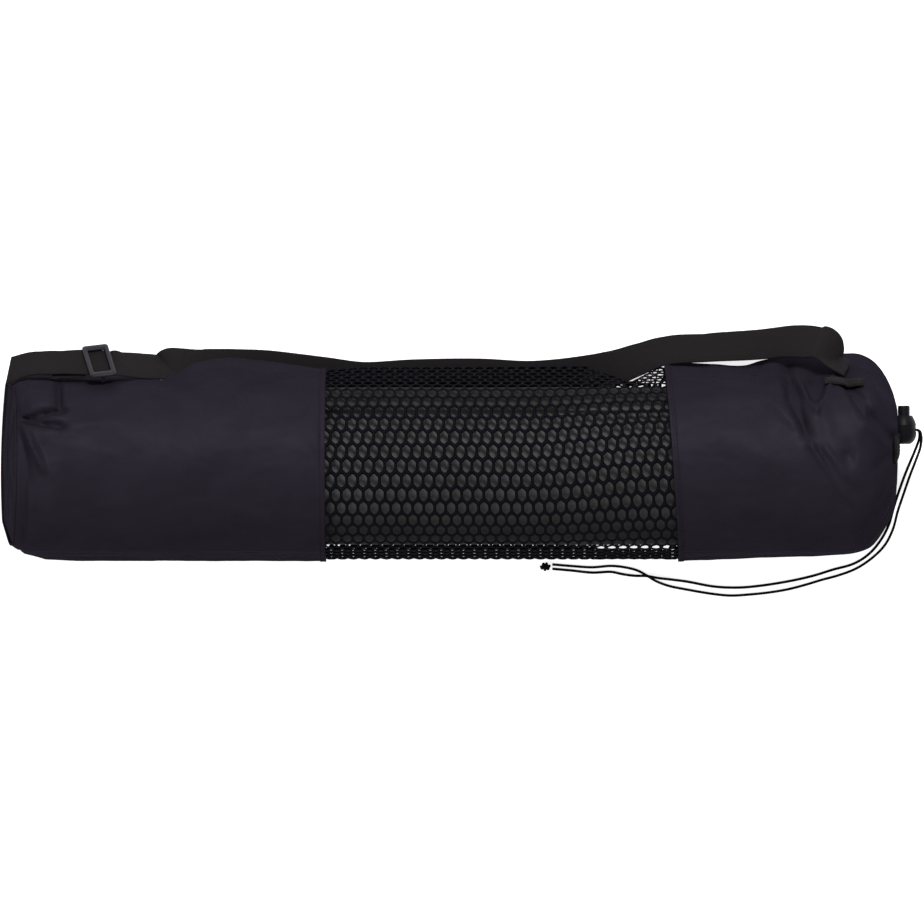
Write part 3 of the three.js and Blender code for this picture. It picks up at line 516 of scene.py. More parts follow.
def cloth_material(name, base):
    """Fine plain-weave nylon with a soft sheen and small rumples"""
    material, tree, shader = node_material(name, base, 0.5, 0.0)
    shader.inputs["Metallic"].default_value = 0.3
    shader.inputs["Specular Tint"].default_value = (0, 0, 0, 1)
    spot = add_node(tree, "ShaderNodeTexCoord").outputs["Object"]
    cloudy = add_node(tree, "ShaderNodeTexNoise", Scale=34.0, Detail=3.0, Roughness=0.55)
    tree.links.new(spot, cloudy.inputs["Vector"])
    # Painted shade: the cloth's base colour drops to 90% where it faces sideways or down
    tinted(tree, shader, base, cloudy.outputs["Fac"], 0.3, 0.7, 0.08, painted_shade_by_facing(tree, 0.9, -0.1, 0.8))
    warp = add_node(tree, "ShaderNodeTexWave", Scale=420.0, Distortion=0.6, Detail=1.0)
    warp.bands_direction = "X"
    weft = add_node(tree, "ShaderNodeTexWave", Scale=420.0, Distortion=0.6, Detail=1.0)
    weft.bands_direction = "DIAGONAL"
    for wave in (warp, weft):
        tree.links.new(spot, wave.inputs["Vector"])
    weave = add_node(tree, "ShaderNodeMath", operation="MULTIPLY")
    tree.links.new(warp.outputs["Fac"], weave.inputs[0])
    tree.links.new(weft.outputs["Fac"], weave.inputs[1])
    rumple = add_node(tree, "ShaderNodeTexNoise", Scale=60.0, Detail=4.0, Roughness=0.6, Distortion=0.4)
    tree.links.new(spot, rumple.inputs["Vector"])
    rough = add_node(tree, "ShaderNodeMapRange")
    for key, value in (("To Min", 0.48), ("To Max", 0.64)):
        rough.inputs[key].default_value = value
    tree.links.new(rumple.outputs["Fac"], rough.inputs["Value"])
    tree.links.new(rough.outputs["Result"], shader.inputs["Roughness"])
    first = bump(tree, shader, rumple.outputs["Fac"], 0.35, 0.0016)
    bump(tree, shader, weave.outputs["Value"], 0.25, 0.0001, first)
    return material


def net_material(name, base):
    """Knitted yarn with a twist along its threads"""
    material, tree, shader = node_material(name, base, 0.8, 0.01)
    spot = add_node(tree, "ShaderNodeTexCoord").outputs["Object"]
    yarn = add_node(tree, "ShaderNodeTexWave", Scale=240.0, Distortion=2.0, Detail=2.0)
    yarn.bands_direction = "DIAGONAL"
    tree.links.new(spot, yarn.inputs["Vector"])
    tinted(tree, shader, base, yarn.outputs["Fac"], 0.0, 1.0, 0.3)
    bump(tree, shader, yarn.outputs["Fac"], 0.5, 0.0003)
    return material


def webbing_material(name, base):
    """Ribbed webbing: rows of floats across the strap that step along it"""
    material, tree, shader = node_material(name, base, 0.8, 0.01)
    uv = add_node(tree, "ShaderNodeTexCoord").outputs["UV"]
    ribs = add_node(tree, "ShaderNodeTexWave", Scale=0.55, Distortion=0.3, Detail=1.0)
    ribs.bands_direction = "X"
    picks = add_node(tree, "ShaderNodeTexWave", Scale=0.42, Distortion=0.8, Detail=1.0)
    picks.bands_direction = "DIAGONAL"
    for wave in (ribs, picks):
        tree.links.new(uv, wave.inputs["Vector"])
    weave = add_node(tree, "ShaderNodeMath", operation="MULTIPLY")
    tree.links.new(ribs.outputs["Fac"], weave.inputs[0])
    tree.links.new(picks.outputs["Fac"], weave.inputs[1])
    tinted(tree, shader, base, weave.outputs["Value"], 0.0, 1.0, 0.35)
    bump(tree, shader, weave.outputs["Value"], 0.7, 0.0004)
    return material


def plastic_material(name, base):
    """Moulded acetal with a fine spark-eroded grain"""
    material, tree, shader = node_material(name, base, 0.42, 0.09)
    spot = add_node(tree, "ShaderNodeTexCoord").outputs["Object"]
    grain = add_node(tree, "ShaderNodeTexNoise", Scale=1500.0, Detail=2.0, Roughness=0.6)
    worn = add_node(tree, "ShaderNodeTexNoise", Scale=90.0, Detail=4.0, Roughness=0.6)
    for node in (grain, worn):
        tree.links.new(spot, node.inputs["Vector"])
    tinted(tree, shader, base, worn.outputs["Fac"], 0.3, 0.7, 0.2)
    rough = add_node(tree, "ShaderNodeMapRange")
    for key, value in (("To Min", 0.3), ("To Max", 0.5)):
        rough.inputs[key].default_value = value
    tree.links.new(worn.outputs["Fac"], rough.inputs["Value"])
    tree.links.new(rough.outputs["Result"], shader.inputs["Roughness"])
    bump(tree, shader, grain.outputs["Fac"], 0.3, 0.0001)
    return material


def cord_material(name, base):
    """Round braid"""
    material, tree, shader = node_material(name, base, 0.75, 0.05)
    spot = add_node(tree, "ShaderNodeTexCoord").outputs["Object"]
    strands = add_node(tree, "ShaderNodeTexVoronoi", Scale=900.0)
    tree.links.new(spot, strands.inputs["Vector"])
    tinted(tree, shader, base, strands.outputs["Distance"], 0.0, 0.6, 0.3)
    bump(tree, shader, strands.outputs["Distance"], 0.5, 0.0002)
    return material


def foam_material(name, base):
    """Closed-cell foam skin with fine pores and a pressed pebble"""
    material, tree, shader = node_material(name, base, 0.8, 0.08)
    spot = add_node(tree, "ShaderNodeTexCoord").outputs["Object"]
    pebble = add_node(tree, "ShaderNodeTexVoronoi", Scale=330.0)
    pores = add_node(tree, "ShaderNodeTexNoise", Scale=700.0, Detail=3.0, Roughness=0.6)
    cloudy = add_node(tree, "ShaderNodeTexNoise", Scale=22.0, Detail=3.0)
    for node in (pebble, pores, cloudy):
        tree.links.new(spot, node.inputs["Vector"])
    # Painted shade: the mat's base colour drops to 32% where its surface turns from the top towards the sides
    tinted(tree, shader, base, cloudy.outputs["Fac"], 0.3, 0.7, 0.15, painted_shade_by_facing(tree, 0.32, 0.45, 0.97))
    first = bump(tree, shader, pebble.outputs["Distance"], 0.4, 0.0005)
    bump(tree, shader, pores.outputs["Fac"], 0.3, 0.0002, first)
    return material


def floor_material(name, base):
    material, tree, shader = node_material(name, base, 0.9, 0.0)
    spot = add_node(tree, "ShaderNodeTexCoord").outputs["Object"]
    paper = add_node(tree, "ShaderNodeTexNoise", Scale=300.0, Detail=2.0)
    tree.links.new(spot, paper.inputs["Vector"])
    bump(tree, shader, paper.outputs["Fac"], 0.02, 0.0002)
    shader.inputs["Emission Color"].default_value = (1, 1, 1, 1)
    shader.inputs["Emission Strength"].default_value = 0.8
    return material


FINISHES = {
    "cloth": cloth_material, "net": net_material, "webbing": webbing_material, "plastic": plastic_material,
    "slider": plastic_material,
    "cord": cord_material, "foam": foam_material, "floor": floor_material,
}


def finish_of(slot):
    name = "mat_bag_" + slot
    found = bpy.data.materials.get(name)
    return found or FINISHES[slot](name, tuple(getattr(bpy.context.scene.mat_bag_colours, slot)))


# Sleeves

def around_lengths(row, count):
    return np.arange(count) / count * girth_length(row)


def sleeve_grid(rows, count, folds, hems, seed):
    """Rings of a cloth sleeve with its folds; hems are (from x, to x) with a doubled edge"""
    grid = []
    for row in rows:
        places, normals = girth_at(row, around_lengths(row, count))
        plain = place(row, places, normals, 0.0)
        up = np.clip(normals[:, 1] / 0.35, 0, 1)
        floor_side = np.clip((normals[:, 1] + 0.95) / 0.4, 0, 1)
        rise = fold_height(folds, plain[:, 0], plain[:, 1]) * up
        out = slack(plain, seed, 38.0, 0.9) * (0.35 + 0.65 * up) * floor_side
        for low, high in hems:
            inside = smoothstep(row["x"], low - 0.3, low + 0.3) * (1 - smoothstep(row["x"], high - 0.3, high + 0.3))
            out += 0.45 * inside * floor_side
        grid.append(folded(row, places, normals, out, rise))
    return np.array(grid)


def clear_of_mat(grid, room):
    """The grid held outside the rolled mat, also in its valleys"""
    y, z = grid[..., 1], grid[..., 2] - MAT_AXIS
    reach = np.hypot(y, z)
    over = smoothstep(grid[..., 0], BASE_DEPTH - 6.0, BASE_DEPTH - 3.0) * (
        1 - smoothstep(grid[..., 0], MAT_END + 3.0, MAT_END + 6.0))
    needed = MAT_RADIUS + room
    grow = 1 + over * np.maximum(needed / reach - 1, 0)
    held = grid.copy()
    held[..., 1] = y * grow
    held[..., 2] = MAT_AXIS + z * grow
    return held


class MATBAG_OT_base_sleeve(bpy.types.Operator):
    """Make the closed end's cloth sleeve and its end panel"""
    bl_idname = "matbag.base_sleeve"
    bl_label = "Base sleeve"

    def execute(self, context):
        wall = context.scene.mat_bag_sizes.cloth_thickness * 1000
        depths = np.concatenate([np.linspace(0.08, 3.2, 34)])
        rows = [base_row(d) for d in depths]
        hem = [BASE_SEAM - 5.0, BASE_SEAM - 4.4, BASE_SEAM - 3.8, BASE_SEAM - 2.0, BASE_SEAM - 0.5, BASE_SEAM]
        xs = np.concatenate([np.arange(3.2 * BASE_DEPTH + 1.7, BASE_SEAM - 6.0, 1.7), hem])
        rows += [full_row(x) for x in xs]
        grid = sleeve_grid(rows, 230, BASE_FOLDS, [(BASE_SEAM - 4.4, BASE_SEAM + 5)], 3.1)
        grid = clear_of_mat(grid, wall + 0.6)
        bulge = 1 - smoothstep(grid[..., 0], 0.0, 2.5 * BASE_DEPTH)
        grid[..., 0] -= BASE_BULGE * bulge * np.clip(1 - ((grid[..., 1] + 6) / 68) ** 2, 0, 1)
        points, faces = shell(grid, inward(grid, wall))
        sleeve = mesh_object("base_sleeve_cloth", points, faces, finish_of("cloth"))
        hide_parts("base_sleeve")
        stitches("base_hem_stitching", [seam_line(grid, BASE_SEAM - x, 0.05) for x in (1.2, 3.4)],
                 context.scene.mat_bag_sizes.stitch * 1000, finish_of("cloth"))

        rim = grid[0]
        middle = rim.mean(axis=0)
        rings = []
        for back in (0.0, wall):
            for share in np.linspace(0.012, 0.97, 16):
                ring = rim + (middle - rim) * share
                ring[:, 0] += 0.9 + back - 2.4 * math.sin(share * math.pi / 2)
                ring[:, 0] += 0.35 * np.sin(6 * np.arctan2(ring[:, 2] - middle[2], ring[:, 1] - middle[1]) + 4 * share)
                rings.append(ring)
        around = rim.shape[0]
        half = len(rings) // 2
        points = np.concatenate(rings)
        faces = grid_faces(half, around) + [f[::-1] for f in grid_faces(half, around, start=half * around)]
        faces += [(k, (k + 1) % around, half * around + (k + 1) % around, half * around + k) for k in range(around)]
        faces.append(tuple((half - 1) * around + k for k in range(around)))
        faces.append(tuple((2 * half - 1) * around + k for k in range(around))[::-1])
        panel = mesh_object("base_panel_cloth", points, faces, finish_of("cloth"))
        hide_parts("base_panel")

        ring = rim + (middle - rim) * 0.004
        piping = tube_mesh("base_piping", np.concatenate([ring, ring[:2]]), 0.75, 8, finish_of("cloth"), closed=True)
        return {"FINISHED"}


def tube_mesh(name, line, radius, sides, material, closed=False, body=BODY):
    """A round bar along a line of points"""
    line = np.asarray(line, float)
    if closed:
        line = line[:-2]
        ways = np.roll(line, -1, axis=0) - np.roll(line, 1, axis=0)
    else:
        ways = np.gradient(line, axis=0)
    ways /= np.linalg.norm(ways, axis=1, keepdims=True)
    side = np.cross(ways[0], [0.3, 0.2, 0.93])
    rings = []
    for way, at in zip(ways, line):
        side = side - way * side.dot(way)
        side /= np.linalg.norm(side)
        other = np.cross(way, side)
        angles = np.arange(sides) / sides * 2 * np.pi
        rings.append(at + radius * (np.cos(angles)[:, None] * side + np.sin(angles)[:, None] * other))
    count = len(rings)
    faces = grid_faces(count, sides)
    if closed:
        faces += [((count - 1) * sides + k, (count - 1) * sides + (k + 1) % sides, (k + 1) % sides, k) for k in range(sides)]
    else:
        faces += [tuple(range(sides))[::-1], tuple((count - 1) * sides + k for k in range(sides))]
    return mesh_object(name, np.concatenate(rings), faces, material, body)


class MATBAG_OT_mouth_sleeve(bpy.types.Operator):
    """Make the open end's cloth sleeve, drawn to its mouth, with the gathered casing"""
    bl_idname = "matbag.mouth_sleeve"
    bl_label = "Mouth sleeve"

    def execute(self, context):
        wall = context.scene.mat_bag_sizes.cloth_thickness * 1000
        hem = np.array([0.0, 0.5, 2.0, 3.8, 4.4, 5.0, 6.6]) / (0.18 * MOUTH_SPAN)
        runs = [np.arange(start, end, step) for start, end, step in (
            (0.26, 2.0, 0.055), (2.0, 3.0, 0.11), (3.0, 4.0, 0.031), (4.0, 5.0, 0.1), (5.0, 10.0, 0.085))]
        steps = np.concatenate([hem, *runs, [10.0]])
        grid = []
        for step in steps:
            row = mouth_row(step)
            count = 240
            places, normals = girth_at(row, around_lengths(row, count))
            plain = place(row, places, normals, 0.0)
            station = (row["x"] - MOUTH_SEAM) / MOUTH_SPAN
            up = np.clip(normals[:, 1] / 0.35, 0, 1)
            floor_side = np.clip((normals[:, 1] + 0.95) / 0.4, 0, 1)
            fade = 1 - smoothstep(step, 8.0, 9.5)
            rise = fold_height(MOUTH_FOLDS, plain[:, 0], plain[:, 1]) * up * fade
            out = slack(plain, 7.7, 38.0, 0.9) * (0.35 + 0.65 * up) * floor_side * fade
            angle = np.arctan2(plain[:, 2] - row["height"], plain[:, 1] - row["side"])
            drawn = smoothstep(station, 0.78, 1.0)
            tight = max(0.35, row["crown"] / CROWN)
            out += drawn * tight * (1.5 * np.cos(GATHERS * angle) + 0.7 * np.cos(2 * GATHERS * angle + 1.3)
                                    + 0.5 * np.cos(17 * angle + 0.4)) * np.where(step < 8.5, floor_side, 1.0)
            inside = smoothstep(row["x"], MOUTH_SEAM - 9, MOUTH_SEAM - 8) * (
                1 - smoothstep(row["x"], MOUTH_SEAM + 4.1, MOUTH_SEAM + 4.7))
            out += 0.45 * inside * floor_side
            grid.append(folded(row, places, normals, out, rise))
        grid = clear_of_mat(np.array(grid), wall + 0.6)
        points, faces = shell(grid, inward(grid, wall))
        sleeve = mesh_object("mouth_sleeve_cloth", points, faces, finish_of("cloth"))
        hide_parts("mouth_sleeve")
        stitches("mouth_hem_stitching", [seam_line(grid, MOUTH_SEAM + x, 0.05) for x in (1.2, 3.4)],
                 context.scene.mat_bag_sizes.stitch * 1000, finish_of("cloth"))

        rings = []
        profile = [(-5.6, 6.0), (-5.2, 8.6), (-4.0, 10.2), (-2.2, 10.9), (-0.9, 10.7), (0.1, 9.8), (0.4, 8.2), (0.0, 6.6),
                   (-0.8, 5.9), (-3.0, 5.7)]
        angles = np.arange(176) / 176 * 2 * np.pi
        for along, radius in profile:
            pleat = 0.35 * np.cos(2 * GATHERS * angles) + 0.22 * np.cos(3 * GATHERS * angles + 0.7 * along)
            r = radius + pleat * smoothstep(radius, 6.5, 9.5)
            rings.append(np.stack([np.full_like(angles, MOUTH_FACE + along), MOUTH_SIDE + r * np.cos(angles),
                                   MOUTH_HEIGHT + r * np.sin(angles)], axis=1))
        around = len(angles)
        faces = grid_faces(len(rings), around)
        last = (len(rings) - 1) * around
        faces += [(last + k, last + (k + 1) % around, (k + 1) % around, k) for k in range(around)]
        casing = mesh_object("drawcord_casing_cloth", np.concatenate(rings), faces, finish_of("cloth"))
        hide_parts("drawcord_casing")
        return {"FINISHED"}


# Net

class MATBAG_OT_net(bpy.types.Operator):
    """Make the knitted net between the two cloth sleeves"""
    bl_idname = "matbag.net"
    bl_label = "Net"

    def execute(self, context):
        sizes = context.scene.mat_bag_sizes
        columns = sizes.net_columns
        pitch = (MOUTH_SEAM - BASE_SEAM) / columns
        thread = sizes.net_thread * 1000
        middle = full_row((BASE_SEAM + MOUTH_SEAM) / 2)
        whole = girth_length(middle)
        rings = 2 * round(whole / (NET_TALL * pitch) / 2)
        hexagon = np.array([(0, -2 / 3), (0.5, -1 / 3), (0.5, 1 / 3), (0, 2 / 3), (-0.5, 1 / 3), (-0.5, -1 / 3)])
        rim = np.array([h for k in range(6) for h in (hexagon[k], (hexagon[k] + hexagon[(k + 1) % 6]) / 2)])
        soft = np.concatenate([rim[-1:], rim, rim[:1]])
        hole = (soft[:-2] * 0.12 + soft[1:-1] * 0.76 + soft[2:] * 0.12) * sizes.net_open * 1.06
        cells = []
        for ring in range(rings):
            for column in range(-1, columns + 2):
                cells.append((column + (0.5 if ring % 2 else 0.0), ring))
        cells = np.array(cells, float)
        layers = []
        for outline in (rim, hole, rim):
            layers.append((cells[:, None, :] + outline[None, :, :]).reshape(-1, 2))
        spots = np.concatenate(layers)
        heights = np.concatenate([np.full(len(layers[0]), thread / 2), np.zeros(len(layers[1])),
                                  np.full(len(layers[2]), -thread / 2)])
        points = self.on_surface(spots, heights, pitch, rings, whole)
        per = len(rim)
        size = len(cells) * per
        faces = []
        for c in range(len(cells)):
            for k in range(per):
                a, b = c * per + k, c * per + (k + 1) % per
                faces.append((a, b, size + b, size + a))
                faces.append((size + a, size + b, 2 * size + b, 2 * size + a))
        net = mesh_object("net_knit", points, faces, finish_of("net"))
        weld(net, 0.00004)
        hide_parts("net_sleeve")
        return {"FINISHED"}

    def on_surface(self, spots, heights, pitch, rings, whole):
        """Net cells on the girth of the bag, drawn towards the slanting seam"""
        along = spots[:, 0] * pitch
        share = ((spots[:, 1] / rings + 0.5) % 1) - 0.5
        lift = 9.0 * smoothstep(along, 140, 254) * np.clip(1 - np.abs(share) * 2.4, 0, 1)
        points = np.zeros((len(spots), 3))
        keys = np.round(along, 3)
        for key in np.unique(keys):
            mine = keys == key
            x = BASE_SEAM + key
            row = full_row(x, 0.0, SEAM_SLANT * np.clip(key / (MOUTH_SEAM - BASE_SEAM), 0, 1))
            extra = girth_length(row) - whole
            s = share[mine]
            lengths = s * whole + extra * 0.5 * np.sign(s) * smoothstep(np.abs(s), 0.2, 0.5) - lift[mine]
            places, normals = girth_at(row, lengths)
            points[mine] = place(row, places, normals, heights[mine] - NET_INSET)
        return points


# Rolled mat

class MATBAG_OT_rolled_mat(bpy.types.Operator):
    """Make the rolled mat with its outer edge and the turns at its ends"""
    bl_idname = "matbag.rolled_mat"
    bl_label = "Rolled mat"

    def execute(self, context):
        thick = context.scene.mat_bag_sizes.mat_thickness * 1000
        flap = math.radians(45)
        count = 180
        shares = np.arange(count) / count
        sunk = smoothstep(shares, 0.62, 1.0) * thick * 0.6
        angles = flap - 2 * np.pi * shares
        outer = MAT_RADIUS - sunk
        outer[0] -= 0.4
        angles[-1] = flap - math.radians(MAT_UNDERCUT)
        ends = []
        turns = np.arange(1.0, 0.16, -0.026)
        for face in (0, 1):
            rings = []
            for j, share in enumerate(turns):
                depth = (0.9 if j == 0 else 0.0) + (0.9 if j % 4 == 3 else 0.0)
                radius = outer * share + (0.35 * np.sin(3 * angles + j) if j % 4 == 3 else 0)
                x = BASE_DEPTH + depth if face == 0 else MAT_END - depth
                rings.append(np.stack([np.full(count, x), radius * np.cos(angles), MAT_AXIS + radius * np.sin(angles)], axis=1))
            ends.append(rings)
        body = []
        for share in np.linspace(0, 1, 60)[1:-1]:
            x = BASE_DEPTH + (MAT_END - BASE_DEPTH) * share
            radius = outer - 0.25 + 0.25 * np.sin(x / 31 + 2 * angles) * np.sin(x / 47)
            body.append(np.stack([np.full(count, x), radius * np.cos(angles), MAT_AXIS + radius * np.sin(angles)], axis=1))
        rings = ends[0][::-1] + body + ends[1]
        faces = grid_faces(len(rings), count)
        last = (len(rings) - 1) * count
        faces += [(last + k, last + (k + 1) % count, (k + 1) % count, k) for k in range(count)]
        mat = mesh_object("rolled_mat_foam", np.concatenate(rings), faces, finish_of("foam"))
        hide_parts("rolled_mat")
        return {"FINISHED"}


# Shoulder strap

# Share of the bag's length, inner edge as a share of the far edge, lift as a share of the crown, tilt in degrees
STRAP = np.array([
    (0.004, 0.795, 0.520, 48), (0.030, 0.882, 0.645, 57), (0.058, 0.894, 0.815, 54), (0.085, 0.8945, 0.918, 50),
    (0.108, 0.890, 0.935, 50), (0.130, 0.883, 0.905, 53), (0.152, 0.855, 0.720, 57), (0.179, 0.845, 0.395, 60),
    (0.196, 0.835, 0.175, 61), (0.210, 0.850, 0.018, 45), (0.228, 0.820, 0.000, 30), (0.254, 0.790, 0.000, 15),
    (0.293, 0.765, 0.000, 4), (0.354, 0.700, 0.000, 0), (0.400, 0.650, 0.000, 0), (0.460, 0.675, 0.000, 0),
    (0.530, 0.683, 0.000, 0), (0.590, 0.660, 0.000, 0), (0.650, 0.710, 0.000, 0), (0.680, 0.765, 0.000, 8),
    (0.710, 0.878, 0.000, 26), (0.741, 0.988, 0.000, 40), (0.785, 1.020, 0.000, 42), (0.830, 1.035, 0.000, 38),
    (0.853, 1.050, 0.080, 38), (0.874, 1.065, 0.230, 43), (0.893, 1.060, 0.440, 52), (0.907, 1.050, 0.620, 62),
    (0.920, 0.965, 0.690, 62), (0.937, 0.875, 0.690, 60)])
SLIDER_AT = 4 / (len(STRAP) - 1)
SLIDER_BAR = 3.2
SLIDER_SLOT = 4.8
SLIDER_TURN = 13
SLIDER_SET = 1.3
SLIDER_LIP = 2.0


def strap_frames(shares, width, thickness):
    """Middle, way along, way across and upward normal of the strap"""
    rest = thickness / 2 + 0.05
    tilts = np.radians(STRAP[:, 3])
    edge = np.stack([STRAP[:, 0] * BAG_LENGTH, STRAP[:, 1] * FAR_EDGE,
                     STRAP[:, 2] * CROWN + rest + width * np.sin(tilts)], axis=1)
    places, ways = centripetal(edge, shares)
    tilt = np.interp(np.asarray(shares) * (len(STRAP) - 1), np.arange(len(STRAP)), tilts)
    frames = []
    for at, way, lean in zip(places, ways, tilt):
        across = np.array([0.0, -math.cos(lean), math.sin(lean)])
        across -= way * across.dot(way)
        across /= np.linalg.norm(across)
        at = at.copy()
        at[2] = max(at[2], rest + width * across[2])
        up = np.cross(across, way)
        up /= np.linalg.norm(up)
        if up[2] < 0:
            up = -up
        frames.append((at - across * width / 2, way, across, up))
    return frames


def web_strip(name, frames, width, thickness, rises, material):
    """Webbing through a row of frames, with thin soft edges"""
    half = width / 2
    profile = [(-1.0, 0.0), (-0.985, 0.32), (-0.93, 0.5), (-0.5, 0.46), (0.0, 0.5), (0.5, 0.46), (0.93, 0.5), (0.985, 0.32),
               (1.0, 0.0), (0.985, -0.32), (0.93, -0.5), (0.5, -0.46), (0.0, -0.5), (-0.5, -0.46), (-0.93, -0.5),
               (-0.985, -0.32)]
    rings, uvs, run = [], [], 0.0
    before = None
    for (middle, way, across, up), rise in zip(frames, rises):
        if before is not None:
            run += np.linalg.norm(middle - before)
        before = middle
        for side, face in profile:
            rings.append(middle + across * side * half + up * (face * thickness + rise))
            uvs.append((run, side * half))
    size = len(profile)
    rows = len(frames)
    faces = grid_faces(rows, size) + [tuple(range(size))[::-1], tuple((rows - 1) * size + k for k in range(size))]
    return mesh_object(name, np.array(rings), faces, material, uvs=uvs)


def stitch_row(line, normals, length_mm, radius=0.22):
    """Short raised stitches along a line on a surface"""
    line, normals = np.asarray(line, float), np.asarray(normals, float)
    marks = np.concatenate([[0], np.cumsum(np.linalg.norm(np.diff(line, axis=0), axis=1))])
    points, faces = [], []
    at = length_mm * 0.3
    while at + length_mm * 0.75 < marks[-1]:
        ends = [np.array([np.interp(s, marks, line[:, c]) for c in range(3)]) for s in (at, at + length_mm * 0.72)]
        up = np.array([np.interp(at, marks, normals[:, c]) for c in range(3)])
        up /= np.linalg.norm(up)
        way = ends[1] - ends[0]
        way /= np.linalg.norm(way)
        side = np.cross(way, up)
        start = len(points)
        for share, lift in ((0.0, -0.5), (0.2, 0.75), (0.8, 0.75), (1.0, -0.5)):
            middle = ends[0] + (ends[1] - ends[0]) * share + up * radius * lift
            for angle in np.arange(5) / 5 * 2 * np.pi:
                points.append(middle + radius * (math.cos(angle) * side + math.sin(angle) * up))
        for i in range(3):
            for k in range(5):
                a, b = start + i * 5 + k, start + i * 5 + (k + 1) % 5
                faces.append((a, b, b + 5, a + 5))
        faces += [tuple(start + k for k in range(5))[::-1], tuple(start + 15 + k for k in range(5))]
        at += length_mm
    return points, faces


def seam_line(grid, x, lift):
    """A line round a sleeve at one place along it, with its outward directions"""
    nearest = int(np.argmin(np.abs(grid[..., 0].mean(axis=1) - x)))
    ring = grid[nearest]
    around = np.roll(ring, -1, axis=0) - np.roll(ring, 1, axis=0)
    outward = np.cross(around, np.array([1.0, 0.0, 0.0]))
    outward /= np.linalg.norm(outward, axis=1, keepdims=True)
    if ((ring[0] - ring.mean(axis=0)) @ outward[0]) < 0:
        outward = -outward
    keep = ring[:, 2] > 2.0
    order = np.roll(np.arange(len(ring)), -int(np.argmin(keep)))
    order = [i for i in order if keep[i]]
    return (ring + outward * lift)[order], outward[order]


def stitches(name, rows, length_mm, material):
    points, faces = [], []
    for line, normals in rows:
        more, their = stitch_row(line, normals, length_mm)
        faces += [tuple(i + len(points) for i in f) for f in their]
        points += more
    piece = mesh_object(name, np.array(points), faces, material)
    return piece


class MATBAG_OT_shoulder_strap(bpy.types.Operator):
    """Make the shoulder strap and its folded tail"""
    bl_idname = "matbag.shoulder_strap"
    bl_label = "Shoulder strap"

    def execute(self, context):
        sizes = context.scene.mat_bag_sizes
        width, thickness = sizes.strap_width * 1000, sizes.strap_thickness * 1000
        shares = np.linspace(0, 1, 420)
        frames = strap_frames(shares, width, thickness)
        middles = np.array([f[0] for f in frames])
        centre = strap_frames([SLIDER_AT], width, thickness)[0][0]
        off = np.linalg.norm(middles - centre, axis=1)
        rises = 0.12 * np.sin(shares * 90) + 0.3 * np.exp(-(off / 5.2) ** 4)
        strap = web_strip("shoulder_strap_webbing", frames, width, thickness * 0.86, rises, finish_of("webbing"))
        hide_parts("shoulder_strap")

        unit = 1 / (len(STRAP) - 1)
        room = (1.5 * SLIDER_BAR + SLIDER_SLOT + 0.3) / BAG_LENGTH / (STRAP[4, 0] - STRAP[3, 0]) * unit
        reach = 26.0 / BAG_LENGTH / (STRAP[3, 0] - STRAP[2, 0]) * unit
        tail_shares = SLIDER_AT - room - np.linspace(0, 1, 40) * reach
        tail = []
        for i, (middle, way, across, up) in enumerate(strap_frames(tail_shares, width, thickness)):
            tail.append((middle + across * 3.0 * i / 39, way, across, up))
        piece = web_strip("strap_tail_webbing", tail, width, thickness * 0.86, np.full(40, -thickness - 0.9),
                          finish_of("webbing"))
        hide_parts("strap_tail")
        return {"FINISHED"}


def rounded_loop(half_x, half_y, radius, steps):
    points = []
    for cx, cy, start in ((half_x - radius, -half_y + radius, -90), (half_x - radius, half_y - radius, 0),
                          (-half_x + radius, half_y - radius, 90), (-half_x + radius, -half_y + radius, 180)):
        for k in range(steps + 1):
            angle = math.radians(start + 90 * k / steps)
            points.append((cx + radius * math.cos(angle), cy + radius * math.sin(angle)))
    return np.array(points)


class MATBAG_OT_strap_slider(bpy.types.Operator):
    """Make the moulded slider that the strap runs through"""
    bl_idname = "matbag.strap_slider"
    bl_label = "Strap slider"

    def execute(self, context):
        sizes = context.scene.mat_bag_sizes
        width, thickness = sizes.strap_width * 1000, sizes.strap_thickness * 1000
        (middle, way, across, up), = strap_frames([SLIDER_AT], width, thickness)
        bar, slot, high = SLIDER_BAR, SLIDER_SLOT, 2.4
        rise = thickness / 2 + 0.55
        middle = middle + across * SLIDER_SET
        side = np.cross(up, way)
        turn = math.radians(SLIDER_TURN)
        way, side = way * math.cos(turn) + side * math.sin(turn), side * math.cos(turn) - way * math.sin(turn)
        half_x = (3 * bar + 2 * slot) / 2
        half_y = (width + 1.4) / 2 + bar
        points, faces = [], []
        steps = 6
        outline = rounded_loop(half_x, half_y, 2.4, steps)
        window = rounded_loop(half_x - bar, half_y - bar - SLIDER_LIP, 1.2, steps)
        section = [(0.0, 0.5), (0.0, 0.75), (0.12, 0.93), (0.32, 1.0), (0.68, 1.0), (0.88, 0.93), (1.0, 0.75), (1.0, 0.25),
                   (0.88, 0.07), (0.68, 0.0), (0.32, 0.0), (0.12, 0.07), (0.0, 0.25)]
        for (ox, oy), (wx, wy) in zip(outline, window):
            for share, level in section:
                x, y = ox + (wx - ox) * share, oy + (wy - oy) * share
                points.append(middle + way * x + side * y + up * (rise + level * high))
        size, count = len(section), len(outline)
        for i in range(count):
            for k in range(size):
                a, b = i * size + k, i * size + (k + 1) % size
                c, d = ((i + 1) % count) * size + (k + 1) % size, ((i + 1) % count) * size + k
                faces.append((a, b, c, d))
        body = mesh_object("strap_slider_moulded", np.array(points), faces, finish_of("slider"))
        parts = [body]
        line = np.array([middle + side * y - up * (rise + high / 2) for y in np.linspace(-(half_y - 1), half_y - 1, 12)])
        parts.append(flat_bar("slider_bar", line, way, up, bar, high, finish_of("slider")))
        for turn in (-1, 1):
            post = np.array([middle + side * turn * (half_y - bar / 2) + up * z
                             for z in np.linspace(-(rise + high - 0.2), rise + 0.6, 8)])
            parts.append(flat_bar("slider_post", post, way, side, bar, 1.6, finish_of("slider")))
        slider = join(parts, "strap_slider_moulded")
        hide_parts("strap_slider")
        return {"FINISHED"}


